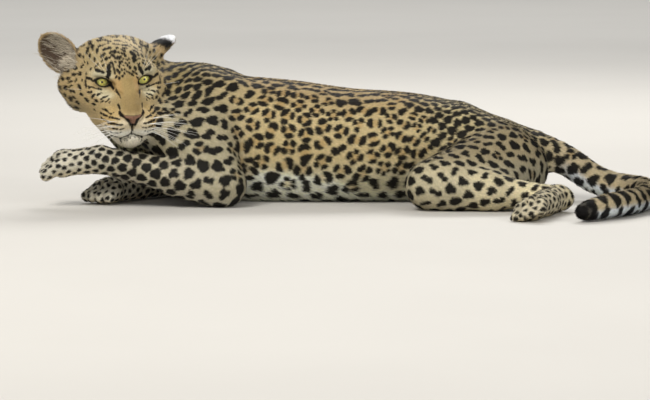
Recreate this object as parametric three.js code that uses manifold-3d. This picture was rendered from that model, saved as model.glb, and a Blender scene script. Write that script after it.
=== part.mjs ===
// A leopard at rest, life size: lying on its chest and belly with its head up
// on its forelegs and turned to its left.
// Millimetres, +Z up, floor at z = 0. +X runs from the head to the tail. The
// origin is on the floor under the middle of the trunk.
import * as THREE from "three";
import { mergeVertices } from "three/addons/utils/BufferGeometryUtils.js";
import Module from "manifold-3d";

// ---- Driving dimensions ---------------------------------------------------
const GAP = 0.35; // between neighbouring parts
const SQUARENESS = 2.25; // of the trunk's section: 2 is an ellipse
const BODY_TRIANGLES = 3800, EAR_TRIANGLES = 230, CUTTER_TRIANGLES = 72;
const HEAD_STEP = 5, BODY_STEP = 9, EAR_STEP = 3.2, CUTTER_STEP = 13;
// how softly each part runs into the ones before it
const JOIN = {
  trunk: 1, neck: 34, head: 22,
  upper_arm_left: 22, forearm_left: 8, forepaw_left: 7,
  upper_arm_right: 22, forearm_right: 8, forepaw_right: 7,
  thigh_left: 26, shank_left: 12, hind_foot_left: 8,
  thigh_right: 26, shank_right: 12, hind_foot_right: 8,
  tail_root: 26, tail_middle: 4, tail_tip: 4,
};
const DEG = Math.PI / 180;

// ---- Vectors --------------------------------------------------------------
const add = (a, b) => [a[0] + b[0], a[1] + b[1], a[2] + b[2]];
const sub = (a, b) => [a[0] - b[0], a[1] - b[1], a[2] - b[2]];
const mul = (a, s) => [a[0] * s, a[1] * s, a[2] * s];
const dot = (a, b) => a[0] * b[0] + a[1] * b[1] + a[2] * b[2];
const mix = (a, b, t) => add(a, mul(sub(b, a), t));
const cross = (a, b) => [a[1] * b[2] - a[2] * b[1], a[2] * b[0] - a[0] * b[2], a[0] * b[1] - a[1] * b[0]];
const unit = (a) => mul(a, 1 / Math.hypot(a[0], a[1], a[2]));
const count = (list) => list.length;
const range = (from, to) => Array.from({ length: to - from }, (_, i) => from + i);

// ---- Primitives: each is a signed distance, negative inside ---------------
// A part is its primitives in order, each blended in over k millimetres.
const PARTS = {};
function put(part, primitive) {
  (PARTS[part] ??= []).push(primitive);
}
const limit = (x, low, high) => Math.min(Math.max(x, low), high);
// a tapering limb length with round ends
function cone(part, a, b, ra, rb, k) {
  const way = sub(b, a), long = Math.hypot(...way), slope = (rb - ra) / long;
  const lean = slope / Math.sqrt(Math.max(1 - slope * slope, 1e-4));
  const [wx, wy, wz] = mul(way, 1 / long);
  const distance = (x, y, z) => {
    const px = x - a[0], py = y - a[1], pz = z - a[2];
    const along = px * wx + py * wy + pz * wz;
    const t = limit(along, 0, long);
    const off = Math.hypot(px - wx * t, py - wy * t, pz - wz * t);
    const u = limit(along + off * lean, 0, long);
    return Math.hypot(px - wx * u, py - wy * u, pz - wz * u) - ra - slope * u;
  };
  const low = [0, 1, 2].map((i) => Math.min(a[i] - ra, b[i] - rb));
  const high = [0, 1, 2].map((i) => Math.max(a[i] + ra, b[i] + rb));
  put(part, { distance, low, high, k });
}
function ellipsoid(c, r, axes, k, cuts) {
  const [[ax, ay, az], [bx, by, bz], [cx, cy, cz]] = axes;
  const distance = (x, y, z) => {
    const px = x - c[0], py = y - c[1], pz = z - c[2];
    const u = (px * ax + py * ay + pz * az) / r[0];
    const v = (px * bx + py * by + pz * bz) / r[1];
    const w = (px * cx + py * cy + pz * cz) / r[2];
    const k0 = Math.hypot(u, v, w), k1 = Math.hypot(u / r[0], v / r[1], w / r[2]);
    return (k0 * (k0 - 1)) / Math.max(k1, 1e-9);
  };
  const half = [0, 1, 2].map((i) => Math.hypot(r[0] * axes[0][i], r[1] * axes[1][i], r[2] * axes[2][i]));
  return { distance, low: sub(c, half), high: add(c, half), k, cuts };
}
// an egg of muscle or bone, and one that is hollowed out
function ell(part, c, r, axes, k) {
  put(part, ellipsoid(c, r, axes, k, false));
}
function scoop(part, c, r, axes, k) {
  put(part, ellipsoid(c, r, axes, k, true));
}
// a barrel through stations along X, with a slightly squared round section
function loft(part, stations, k) {
  const first = stations[0], last = stations[stations.length - 1];
  const at = (x) => {
    const xs = limit(x, first[0], last[0]);
    let i = 0;
    while (i < stations.length - 2 && xs > stations[i + 1][0]) i++;
    const s0 = stations[Math.max(i - 1, 0)], s1 = stations[i], s2 = stations[i + 1];
    const s3 = stations[Math.min(i + 2, stations.length - 1)];
    const h = s2[0] - s1[0], t = (xs - s1[0]) / h;
    return [1, 2, 3, 4].map((n) => {
      const m1 = (i > 0 ? (s2[n] - s0[n]) / (s2[0] - s0[0]) : (s2[n] - s1[n]) / h) * h;
      const m2 = (i < stations.length - 2 ? (s3[n] - s1[n]) / (s3[0] - s1[0]) : (s2[n] - s1[n]) / h) * h;
      const t2 = t * t, t3 = t2 * t;
      return (2 * t3 - 3 * t2 + 1) * s1[n] + (t3 - 2 * t2 + t) * m1 + (3 * t2 - 2 * t3) * s2[n] + (t3 - t2) * m2;
    });
  };
  const known = new Map();
  const distance = (x, y, z) => {
    let s = known.get(x);
    if (!s) known.set(x, (s = at(x)));
    const [top, bottom, half, middle] = s;
    const ry = half, rz = (top - bottom) / 2, u = Math.abs(y - middle), v = Math.abs(z - (top + bottom) / 2);
    const around = Math.hypot(y - middle, z - (top + bottom) / 2);
    const rho = Math.pow(Math.pow(u / ry, SQUARENESS) + Math.pow(v / rz, SQUARENESS), 1 / SQUARENESS);
    const side = rho > 1e-6 ? around * (1 - 1 / rho) : -Math.min(ry, rz);
    const past = Math.max(first[0] - x, x - last[0], 0);
    return past > 0 ? Math.hypot(Math.max(side, 0), past) : side;
  };
  const low = [first[0], Math.min(...stations.map((s) => s[4] - s[3])), Math.min(...stations.map((s) => s[2]))];
  const high = [last[0], Math.max(...stations.map((s) => s[4] + s[3])), Math.max(...stations.map((s) => s[1]))];
  put(part, { distance, low, high, k });
}
const blend = (a, b, k) => {
  const h = Math.max(k - Math.abs(a - b), 0) / k;
  return Math.min(a, b) - h * h * k * 0.25;
};

// ---- Frame and pose -------------------------------------------------------
// Millimetres. +X runs from head to tail, +Y to the animal's right, +Z up, and
// the floor is z = 0. The animal lies on its chest and belly and looks to its
// left, towards -Y.

// The head's own frame: its origin is midway between the eyes.
const EYES = [-419.5, -112, 231.5];
const HEAD_YAW = 14.5, HEAD_PITCH = 5, HEAD_ROLL = 2.5;
const HY = HEAD_YAW * DEG, HP = HEAD_PITCH * DEG, HR = HEAD_ROLL * DEG;
// forward, then up and left of the head, pitched, turned and rolled in that order
const HF = [Math.sin(HY) * Math.cos(HP), -Math.cos(HY) * Math.cos(HP), -Math.sin(HP)];
const HU0 = [Math.sin(HY) * Math.sin(HP), -Math.cos(HY) * Math.sin(HP), Math.cos(HP)];
const HL0 = [Math.cos(HY), Math.sin(HY), 0];
const HL = add(mul(HL0, Math.cos(HR)), mul(HU0, Math.sin(HR)));
const HU = add(mul(HU0, Math.cos(HR)), mul(HL0, -Math.sin(HR)));
function inHead(left, forward, up) {
  return add(add(add(EYES, mul(HL, left)), mul(HF, forward)), mul(HU, up));
}
function headBlob(part, c, r, k) {
  ell(part, inHead(c[0], c[1], c[2]), r, [HL, HF, HU], k);
}
function headScoop(part, c, r, k, slant) {
  const side = unit(add(mul(HL, Math.cos(slant)), mul(HU, Math.sin(slant))));
  scoop(part, inHead(c[0], c[1], c[2]), r, [side, HF, unit(cross(side, HF))], k);
}
function headBar(part, a, b, ra, rb, k) {
  cone(part, inHead(a[0], a[1], a[2]), inHead(b[0], b[1], b[2]), ra, rb, k);
}

// A run of tapering lengths along a smooth curve through the path's points.
function curveAt(path, i, t) {
  const end = count(path) - 1;
  const a = path[Math.max(i - 1, 0)], b = path[i], c = path[Math.min(i + 1, end)], d = path[Math.min(i + 2, end)];
  const linear = add(b, mul(sub(c, a), 0.5 * t));
  const square = mul(sub(add(mul(a, 2), mul(c, 4)), add(mul(b, 5), d)), 0.5 * t * t);
  const cube = mul(add(sub(mul(b, 3), mul(c, 3)), sub(d, a)), 0.5 * t * t * t);
  return add(linear, add(square, cube));
}
function chain(part, path, radii, first, last) {
  for (const i of range(first, last)) {
    for (const j of range(0, 3)) {
      const ra = radii[i] + (radii[i + 1] - radii[i]) * j / 3;
      const rb = radii[i] + (radii[i + 1] - radii[i]) * (j + 1) / 3;
      cone(part, curveAt(path, i, j / 3), curveAt(path, i, (j + 1) / 3), ra, rb, 2);
    }
  }
}

// ---- Trunk ----------------------------------------------------------------
// Stations along X: [x, top, bottom, half width, middle's y].
const TRUNK = [
  [-352, 196, 62, 52, -4],
  [-322, 222, 24, 78, -2],
  [-275, 240, 2, 97, 0],
  [-200, 235, -7, 108, 0],
  [-100, 226, -9, 112, 0],
  [0, 212, -9, 113, 0],
  [100, 205, -9, 105, 0],
  [160, 196, -8, 97, 0],
  [215, 182, -6, 88, 0],
  [265, 163, 2, 78, 0],
  [315, 141, 14, 62, 0],
  [352, 123, 40, 42, 0],
];
loft("trunk", TRUNK, 26);
// shoulder blades, with their upper ends at the withers
for (const s of [-1, 1]) {
  cone("trunk", [-272, s * 46, 219], [-318, s * 88, 142], 30, 46, 30);
  cone("trunk", [-226, s * 50, 205], [-262, s * 88, 120], 28, 44, 34);
  // croup and the root of the thigh
  cone("trunk", [206, s * 38, 144], [286, s * 40, 96], 36, 40, 26);
}
cone("trunk", [-300, 0, 229], [-235, 0, 223], 22, 22, 30);
cone("trunk", [296, 0, 98], [346, 0, 80], 42, 38, 24);

// ---- Neck -----------------------------------------------------------------
cone("neck", [-300, 0, 168], [-372, 4, 182], 84, 78, 20);
cone("neck", [-372, 4, 182], [-425, 8, 200], 78, 70, 30);
cone("neck", [-318, -20, 118], [-392, -36, 140], 66, 56, 30);
cone("neck", [-392, -36, 140], [-424, -62, 158], 56, 46, 30);

// ---- Head -----------------------------------------------------------------
headBlob("head", [0, -72, 12], [64, 84, 62], 10);
headBar("head", [-36, -74, 38], [32, -74, 37], 32, 32, 18);
headBlob("head", [0, -26, 18], [52, 46, 42], 24);
headBar("head", [0, -8, 6], [0, 34, -26], 26, 25, 22);
headBar("head", [0, 34, -26], [0, 60, -44], 25, 21, 14);
for (const s of [-1, 1]) {
  // brow, cheekbone, the fill below the eye, and the cheek
  headBar("head", [s * 26, 4, 22], [s * 54, -14, 14], 9, 9, 16);
  headBlob("head", [s * 50, -36, -24], [36, 46, 39], 26);
  headBlob("head", [s * 36, 2, -34], [26, 30, 24], 22);
  headBar("head", [s * 60, -62, -26], [s * 64, -84, -14], 33, 32, 26);
  // whisker pad and its root
  headBlob("head", [s * 22, 50, -69], [25, 30, 22], 12);
  headBar("head", [s * 24, 28, -62], [s * 35, -6, -53], 26, 24, 20);
  // lower jaw
  headBar("head", [s * 38, -30, -62], [s * 13, 34, -93], 22, 17, 18);
  headBlob("head", [s * 62, -84, 28], [26, 24, 24], 24);
}
headBar("head", [0, 50, -56], [0, 66, -55], 19, 16, 10);
headBlob("head", [0, 40, -99], [25, 26, 19], 10);
headBlob("head", [0, -40, -66], [46, 56, 38], 28);
// the ruff behind the right cheek, pushed up by the foreleg under it
headBar("head", [-70, -64, -32], [-84, -70, -12], 27, 28, 22);
// eyes: the socket, the ball with its lids over it, and the slit between them
const EYE_RADIUS = 17.5, EYE_OUT = 39, EYE_BACK = -22, EYE_SLANT = 0.3;
for (const s of [-1, 1]) {
  headScoop("head", [s * (EYE_OUT + 3), 15, -2], [23, 16, 16], 10, s * EYE_SLANT);
  headBlob("head", [s * EYE_OUT, EYE_BACK, 0], [EYE_RADIUS + 3.5, EYE_RADIUS + 3.5, EYE_RADIUS + 3.5], 7);
  headScoop("head", [s * (EYE_OUT + 1), EYE_BACK + 20, -1], [13, 22, 7.5], 3, s * EYE_SLANT);
}

// ---- Ears -----------------------------------------------------------------
// A cup about its own axes: from base to tip, across, and out of its mouth.
function ear(part, base, tip, mouth, length, width) {
  const up = unit(sub(tip, base));
  const out = unit(sub(mouth, mul(up, dot(mouth, up))));
  const wide = cross(up, out);
  const middle = add(base, mul(up, length * 0.46));
  ell(part, middle, [width * 0.5, length * 0.54, 17], [wide, up, out], 6);
  cone(part, add(base, mul(out, -4)), add(base, mul(up, 18)), 22, 19, 12);
  scoop(part, add(middle, add(mul(out, 14), mul(up, 3))), [width * 0.5 - 5, length * 0.54 - 6, 20], [wide, up, out], 5);
  ell(part, add(base, add(mul(up, 10), mul(out, 2))), [17, 13, 9], [wide, up, out], 8);
}
function headWay(left, forward, up) {
  return add(add(mul(HL, left), mul(HF, forward)), mul(HU, up));
}
ear("ear_right", inHead(-78, -76, 15), inHead(-131, -84, 75), headWay(-0.15, 1, -0.15), 90, 68);
ear("ear_left", inHead(70, -86, 25), inHead(119, -124, 56), headWay(0.7, -0.2, -0.7), 72, 64);

// ---- Forelegs -------------------------------------------------------------
const SHOULDER_L = [-338, -92, 138], ELBOW_L = [-234, -140, 36];
const WRIST_L = [-462, -140, 88], KNUCKLES_L = [-532, -128, 80];
const SHOULDER_R = [-338, 92, 134], ELBOW_R = [-262, 138, 36];
const WRIST_R = [-398, -6, 27], KNUCKLES_R = [-452, -74, 24];
const ELBOW_RADIUS = 38, WRIST_RADIUS = 28;
function foreleg(side, shoulder, elbow, wrist) {
  cone("upper_arm_" + side, shoulder, elbow, 56, ELBOW_RADIUS, 24);
  cone("upper_arm_" + side, add(shoulder, [72, 0, 6]), add(elbow, [6, 6, 12]), 44, 34, 26);
  cone("forearm_" + side, elbow, mix(elbow, wrist, 0.42), ELBOW_RADIUS, 35, 12);
  cone("forearm_" + side, mix(elbow, wrist, 0.42), wrist, 35, WRIST_RADIUS, 12);
  cone("forearm_" + side, mix(elbow, wrist, 0.08), mix(elbow, wrist, 0.35), 40, 37, 14);
}
// A paw: palm from ankle to knuckles, four toes fanned out, and the pads below.
function paw(part, ankle, knuckles, upward, size) {
  const along = unit(sub(knuckles, ankle));
  const across = unit(cross(along, upward));
  const above = cross(across, along);
  cone(part, ankle, knuckles, 27 * size, 25 * size, 12);
  cone(part, add(knuckles, mul(across, -12 * size)), add(knuckles, mul(across, 12 * size)), 21 * size, 21 * size, 12);
  for (const t of [-1.5, -0.5, 0.5, 1.5]) {
    const reach = (36 - 5 * Math.abs(t)) * size;
    const root = add(knuckles, add(mul(across, t * 14 * size), mul(above, 4 * size)));
    const tip = add(add(knuckles, mul(along, reach)), add(mul(across, t * 18 * size), mul(above, -9 * size)));
    cone(part, root, tip, 14 * size, 12.5 * size, 5);
  }
}
foreleg("left", SHOULDER_L, ELBOW_L, WRIST_L);
foreleg("right", SHOULDER_R, ELBOW_R, WRIST_R);
paw("forepaw_left", WRIST_L, KNUCKLES_L, [-0.25, -0.35, 1], 1.0);
paw("forepaw_right", WRIST_R, KNUCKLES_R, [0, 0, 1], 1.0);

// ---- Hind legs ------------------------------------------------------------
const HIP_L = [276, -66, 84], KNEE_L = [146, -196, 46];
const HOCK_L = [378, -226, 25], TOES_L = [322, -372, 22];
const HIP_R = [276, 66, 84], KNEE_R = [150, 186, 46];
const HOCK_R = [352, 222, 25], TOES_R = [272, 346, 22];
function hindleg(side, hip, knee, hock) {
  cone("thigh_" + side, hip, knee, 66, 48, 24);
  cone("thigh_" + side, add(hip, [30, 0, -14]), mix(knee, hock, 0.22), 58, 44, 30);
  cone("thigh_" + side, add(hip, [48, 0, -26]), mix(knee, hock, 0.5), 42, 34, 30);
  cone("shank_" + side, knee, mix(knee, hock, 0.45), 44, 37, 16);
  cone("shank_" + side, mix(knee, hock, 0.45), mix(knee, hock, 0.86), 37, 24, 16);
  cone("shank_" + side, mix(knee, hock, 0.86), hock, 24, 24, 12);
  cone("shank_" + side, mix(knee, hock, 0.9), add(hock, [14, 0, 0]), 19, 19, 10);
}
function hindfoot(part, hock, toes, upward) {
  const instep = mix(hock, toes, 0.5);
  cone(part, hock, instep, 26, 23, 12);
  paw(part, instep, toes, upward, 0.92);
}
hindleg("left", HIP_L, KNEE_L, HOCK_L);
hindleg("right", HIP_R, KNEE_R, HOCK_R);
hindfoot("hind_foot_left", HOCK_L, TOES_L, [-0.3, 0.1, 1]);
hindfoot("hind_foot_right", HOCK_R, TOES_R, [-0.3, -0.1, 1]);

// ---- Tail -----------------------------------------------------------------
// Three lengths. It leaves the rump level, comes down to the floor and turns.
const TAIL_PATH = [
  [316, 0, 92], [372, -1, 88], [416, -4, 68], [452, -12, 44], [486, -26, 30], [520, -54, 27],
  [543, -98, 27], [549, -152, 26], [540, -208, 26], [519, -262, 25], [490, -312, 25], [455, -356, 24], [416, -394, 19],
];
const TAIL_RADII = [38, 33, 31, 30, 29, 28, 28, 27, 27, 26, 26, 25, 20];
chain("tail_root", TAIL_PATH, TAIL_RADII, 0, 4);
chain("tail_middle", TAIL_PATH, TAIL_RADII, 4, 8);
chain("tail_tip", TAIL_PATH, TAIL_RADII, 8, 12);

// ---- The field on a grid, and its surface ---------------------------------
// Grid lines from low to high, closer together inside [fineLow, fineHigh].
function lines(low, high, step, fineLow, fineHigh, fineStep) {
  const out = [];
  for (let x = low; x < high + step; x += x >= fineLow && x < fineHigh ? fineStep : step) out.push(x);
  return out;
}
// The blended distance of the named parts, at every grid point.
const FAR = 40;
function sample(names, grid, softness) {
  const [gx, gy, gz] = grid, ny = gy.length, nz = gz.length;
  const field = new Float32Array(gx.length * ny * nz).fill(FAR);
  const span = (g, low, high) => {
    let a = 0, b = g.length;
    while (a < b && g[a] < low - FAR) a++;
    while (b > a && g[b - 1] > high + FAR) b--;
    return [a, b];
  };
  for (const name of names) {
    const own = new Float32Array(field.length).fill(FAR);
    let box = null;
    for (const p of PARTS[name]) {
      const s = [0, 1, 2].map((i) => span(grid[i], p.low[i], p.high[i]));
      box = box ? box.map(([a, b], i) => [Math.min(a, s[i][0]), Math.max(b, s[i][1])]) : s;
      for (let i = s[0][0]; i < s[0][1]; i++)
        for (let j = s[1][0]; j < s[1][1]; j++)
          for (let k = s[2][0], n = (i * ny + j) * nz + k; k < s[2][1]; k++, n++) {
            const d = p.distance(gx[i], gy[j], gz[k]);
            own[n] = p.cuts ? -blend(-own[n], d, p.k) : blend(own[n], d, p.k);
          }
    }
    for (let i = box[0][0]; i < box[0][1]; i++)
      for (let j = box[1][0]; j < box[1][1]; j++)
        for (let k = box[2][0], n = (i * ny + j) * nz + k; k < box[2][1]; k++, n++)
          field[n] = blend(field[n], own[n], softness[name] ?? 1);
  }
  return field;
}
// A closed surface where the field is zero: every cell is cut into six
// tetrahedra round its long diagonal.
const TETRAHEDRA = [[0, 1, 3, 7], [0, 3, 2, 7], [0, 2, 6, 7], [0, 6, 4, 7], [0, 4, 5, 7], [0, 5, 1, 7]];
function surface(field, grid) {
  const [gx, gy, gz] = grid, nx = gx.length, ny = gy.length, nz = gz.length;
  const step = [0, 1, 2, 3, 4, 5, 6, 7].map((c) => ((c & 1) * ny + ((c >> 1) & 1)) * nz + ((c >> 2) & 1));
  const value = (n) => (Math.abs(field[n]) < 1e-3 ? 1e-3 : field[n]);
  const place = (n) => [gx[Math.floor(n / (ny * nz))], gy[Math.floor(n / nz) % ny], gz[n % nz]];
  const points = [], faces = [], known = new Map();
  const edge = (cell, a, b) => {
    if (a > b) [a, b] = [b, a];
    const key = (cell + step[a]) * 8 + (b - a === 0 ? 0 : (b ^ a));
    let at = known.get(key);
    if (at === undefined) {
      const na = cell + step[a], nb = cell + step[b], fa = value(na), fb = value(nb);
      at = points.length;
      points.push(mix(place(na), place(nb), limit(fa / (fa - fb), 0.04, 0.96)));
      known.set(key, at);
    }
    return at;
  };
  const face = (a, b, c, inside, outside) => {
    const n = cross(sub(points[b], points[a]), sub(points[c], points[a]));
    faces.push(dot(n, sub(outside, inside)) > 0 ? [a, b, c] : [a, c, b]);
  };
  for (let i = 0; i < nx - 1; i++)
    for (let j = 0; j < ny - 1; j++)
      for (let k = 0; k < nz - 1; k++) {
        const cell = (i * ny + j) * nz + k;
        let below = 0;
        for (let c = 0; c < 8; c++) if (value(cell + step[c]) < 0) below++;
        if (below === 0 || below === 8) continue;
        for (const t of TETRAHEDRA) {
          const inn = t.filter((c) => value(cell + step[c]) < 0), out = t.filter((c) => !inn.includes(c));
          if (!inn.length || !out.length) continue;
          const middle = (cs) => mul(cs.map((c) => place(cell + step[c])).reduce(add), 1 / cs.length);
          const mi = middle(inn), mo = middle(out);
          if (inn.length === 2) {
            const a = edge(cell, inn[0], out[0]), b = edge(cell, inn[0], out[1]);
            const c = edge(cell, inn[1], out[1]), d = edge(cell, inn[1], out[0]);
            face(a, b, c, mi, mo);
            face(a, c, d, mi, mo);
          } else {
            const [one, rest] = inn.length === 1 ? [inn[0], out] : [out[0], inn];
            face(edge(cell, one, rest[0]), edge(cell, one, rest[1]), edge(cell, one, rest[2]), mi, mo);
          }
        }
      }
  return { points, faces };
}
// A triangle's unit normal, and how near it is to having equal sides.
function shapeOf([a, b, c]) {
  const u = sub(b, a), v = sub(c, a), w = sub(c, b), n = cross(u, v), area = Math.hypot(n[0], n[1], n[2]);
  const longest = Math.max(dot(u, u), dot(v, v), dot(w, w));
  return { normal: area > 1e-12 ? mul(n, 1 / area) : [0, 0, 0], round: area / Math.max(longest, 1e-12) };
}
// Merges a surface's edges, cheapest first, down to a number of triangles.
// weight(point) above 1 keeps more of the detail there.
function simplify({ points, faces }, target, weight = () => 1) {
  const n = points.length, Q = new Float64Array(n * 10);
  const around = Array.from({ length: n }, () => new Set());
  faces.forEach(([a, b, c], f) => {
    const normal = cross(sub(points[b], points[a]), sub(points[c], points[a]));
    const area = Math.hypot(...normal) / 2;
    for (const v of [a, b, c]) around[v].add(f);
    if (area < 1e-9) return;
    const [x, y, z] = mul(normal, 0.5 / area), d = -dot([x, y, z], points[a]);
    const s = area * weight(points[a]);
    const q = [x * x, x * y, x * z, x * d, y * y, y * z, y * d, z * z, z * d, d * d];
    for (const v of [a, b, c]) for (let i = 0; i < 10; i++) Q[v * 10 + i] += q[i] * s;
  });
  const plan = (a, b) => {
    const q = new Array(10);
    for (let i = 0; i < 10; i++) q[i] = Q[a * 10 + i] + Q[b * 10 + i];
    const cost = ([x, y, z]) =>
      q[0] * x * x + 2 * q[1] * x * y + 2 * q[2] * x * z + 2 * q[3] * x + q[4] * y * y + 2 * q[5] * y * z +
      2 * q[6] * y + q[7] * z * z + 2 * q[8] * z + q[9];
    const length = Math.hypot(...sub(points[a], points[b]));
    const r0 = [q[0], q[1], q[2]], r1 = [q[1], q[4], q[5]], r2 = [q[2], q[5], q[7]];
    const det = dot(r0, cross(r1, r2)), middle = mix(points[a], points[b], 0.5);
    let best = middle;
    const scale = q[0] + q[4] + q[7];
    if (det > 1e-5 * scale * scale * scale) {
      const v = [-q[3], -q[6], -q[8]];
      const c0 = [r0[0], r1[0], r2[0]], c1 = [r0[1], r1[1], r2[1]], c2 = [r0[2], r1[2], r2[2]];
      const spot = [dot(v, cross(c1, c2)) / det, dot(c0, cross(v, c2)) / det, dot(c0, cross(c1, v)) / det];
      if (Math.hypot(...sub(spot, middle)) < length * 1.5) best = spot;
    }
    if (best === middle) {
      for (const v of [points[a], points[b]]) if (cost(v) < cost(best) * 0.98) best = v;
    }
    return { a, b, spot: best, cost: Math.max(cost(best), 0) + 0.0015 * scale * length * length };
  };
  const heap = [];
  const less = (i, j) => heap[i].cost < heap[j].cost;
  const swap = (i, j) => ([heap[i], heap[j]] = [heap[j], heap[i]]);
  const push = (item) => {
    let i = heap.push(item) - 1;
    for (; i > 0 && less(i, (i - 1) >> 1); i = (i - 1) >> 1) swap(i, (i - 1) >> 1);
  };
  const pop = () => {
    const top = heap[0], last = heap.pop();
    if (heap.length) {
      heap[0] = last;
      for (let i = 0; ; ) {
        let m = i;
        for (const c of [2 * i + 1, 2 * i + 2]) if (c < heap.length && less(c, m)) m = c;
        if (m === i) break;
        swap(i, m);
        i = m;
      }
    }
    return top;
  };
  const stamp = new Int32Array(n);
  const neighbours = (v) => {
    const out = new Set();
    for (const f of around[v]) for (const u of faces[f]) if (u !== v) out.add(u);
    return out;
  };
  const offer = (a, b) => push({ ...plan(a, b), sa: stamp[a], sb: stamp[b] });
  for (let v = 0; v < n; v++) for (const u of neighbours(v)) if (u > v) offer(v, u);
  // what is turned down waits, and is tried again when the mesh round it changed
  let left = faces.length, waiting = [], again = left * 0.95;
  while (left > target && (heap.length || waiting.length)) {
    if (left < again || !heap.length) {
      if (!heap.length && left > again) break;
      again = left * 0.9;
      for (const item of waiting) push(item);
      waiting = [];
    }
    const item = pop(), { a, b, spot, sa, sb } = item;
    if (stamp[a] !== sa || stamp[b] !== sb) continue;
    const na = neighbours(a), nb = neighbours(b);
    let shared = 0;
    for (const v of na) if (nb.has(v)) shared++;
    if (shared !== 2) {
      waiting.push(item);
      continue;
    }
    // no face may turn over or become a sliver
    let fine = true;
    for (const [v, w] of [[a, b], [b, a]]) {
      for (const f of around[v]) {
        if (faces[f].includes(w)) continue;
        const old = faces[f].map((u) => points[u]), now = faces[f].map((u) => (u === v ? spot : points[u]));
        const was = shapeOf(old), is = shapeOf(now);
        const turned = dot(was.normal, is.normal) < (was.round > 0.05 ? 0.2 : -0.5);
        if (turned || (is.round < 0.05 && is.round < was.round * 0.7)) {
          fine = false;
          break;
        }
      }
      if (!fine) break;
    }
    if (!fine) {
      waiting.push(item);
      continue;
    }
    points[a] = spot;
    for (let i = 0; i < 10; i++) Q[a * 10 + i] += Q[b * 10 + i];
    for (const f of around[b]) {
      if (faces[f].includes(a)) {
        for (const u of faces[f]) if (u !== b) around[u].delete(f);
        faces[f] = null;
        left--;
      } else {
        faces[f] = faces[f].map((u) => (u === b ? a : u));
        around[a].add(f);
      }
    }
    around[b] = new Set();
    stamp[b] = -1;
    stamp[a]++;
    for (const v of neighbours(a)) offer(a, v);
  }
  const kept = faces.filter((f) => f), order = new Map();
  for (const f of kept) for (const v of f) if (!order.has(v)) order.set(v, order.size);
  const places = new Array(order.size);
  for (const [v, i] of order) places[i] = points[v];
  return { points: places, faces: kept.map((f) => f.map((v) => order.get(v))) };
}
// The largest body of a surface, without islands.
function largest({ points, faces }) {
  const lead = points.map((_, i) => i);
  const find = (i) => {
    while (lead[i] !== i) i = lead[i] = lead[lead[i]];
    return i;
  };
  for (const [a, b, c] of faces) lead[find(a)] = find(b), lead[find(b)] = find(c);
  const volume = new Map();
  for (const [a, b, c] of faces) {
    const v = dot(points[a], cross(points[b], points[c])) / 6;
    volume.set(find(a), (volume.get(find(a)) ?? 0) + v);
  }
  const best = [...volume].sort((p, q) => q[1] - p[1])[0][0];
  return { points, faces: faces.filter(([a]) => find(a) === best) };
}
// A surface moved out along its own normals.
function thicken({ points, faces }, by) {
  const normals = points.map(() => [0, 0, 0]);
  for (const f of faces) {
    for (const i of [0, 1, 2]) {
      const p = points[f[i]], u = unit(sub(points[f[(i + 1) % 3]], p)), v = unit(sub(points[f[(i + 2) % 3]], p));
      const n = cross(u, v), length = Math.hypot(...n);
      if (length < 1e-9) continue;
      const angle = Math.acos(limit(dot(u, v), -1, 1));
      normals[f[i]] = add(normals[f[i]], mul(n, angle / length));
    }
  }
  return { points: points.map((p, i) => (Math.hypot(...normals[i]) > 1e-9 ? add(p, mul(unit(normals[i]), by)) : p)), faces };
}

// ---- Solids ---------------------------------------------------------------
const wasm = await Module();
wasm.setup();
function toSolid({ points, faces }) {
  return new wasm.Manifold(new wasm.Mesh({
    numProp: 3, vertProperties: new Float32Array(points.flat()), triVerts: new Uint32Array(faces.flat()),
  }));
}
function fromSolid(solid) {
  const { vertProperties: p, triVerts: t, numProp } = solid.getMesh();
  const points = [], faces = [];
  for (let i = 0; i < p.length; i += numProp) points.push([p[i], p[i + 1], p[i + 2]]);
  for (let i = 0; i < t.length; i += 3) faces.push([t[i], t[i + 1], t[i + 2]]);
  return { points, faces };
}
function fromGeometry(geometry, at) {
  geometry.deleteAttribute("normal");
  geometry.deleteAttribute("uv");
  const g = mergeVertices(geometry, 1e-4).translate(at[0], at[1], at[2]);
  const p = g.attributes.position.array, t = g.index.array, points = [], faces = [];
  for (let i = 0; i < p.length; i += 3) points.push([p[i], p[i + 1], p[i + 2]]);
  for (let i = 0; i < t.length; i += 3) {
    if (t[i] !== t[i + 1] && t[i + 1] !== t[i + 2] && t[i] !== t[i + 2]) faces.push([t[i], t[i + 1], t[i + 2]]);
  }
  return { points, faces };
}

const names = Object.keys(JOIN);
const body = names.flatMap((name) => PARTS[name]);
const low = [0, 1, 2].map((i) => Math.min(...body.map((p) => p.low[i])) - 12);
const high = [0, 1, 2].map((i) => Math.max(...body.map((p) => p.high[i])) + 12);
const grid = [
  lines(low[0], high[0], BODY_STEP, low[0], -325, HEAD_STEP),
  lines(low[1], high[1], BODY_STEP, -225, 20, HEAD_STEP),
  lines(low[2], high[2], 7, 120, high[2], HEAD_STEP),
];
// the whole animal without ears, with the most triangles on its face
const nearFace = (p) => 1 + 5 * Math.exp(-Math.pow(Math.hypot(...sub(p, inHead(0, 10, -30))) / 95, 4));
const hide = simplify(largest(surface(sample(names, grid, JOIN), grid)), BODY_TRIANGLES, nearFace);
const under = fromGeometry(new THREE.BoxGeometry(2000, 2000, 200), [0, 0, -100]);
let rest = toSolid(hide).subtract(toSolid(under));

// eyes, each a ball in its socket
const ball = (side, more) =>
  fromGeometry(new THREE.SphereGeometry(EYE_RADIUS + more, 16, 10), inHead(side * EYE_OUT, EYE_BACK, 0));
for (const side of [-1, 1]) rest = rest.subtract(toSolid(ball(side, GAP)));
const whole = rest;

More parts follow.
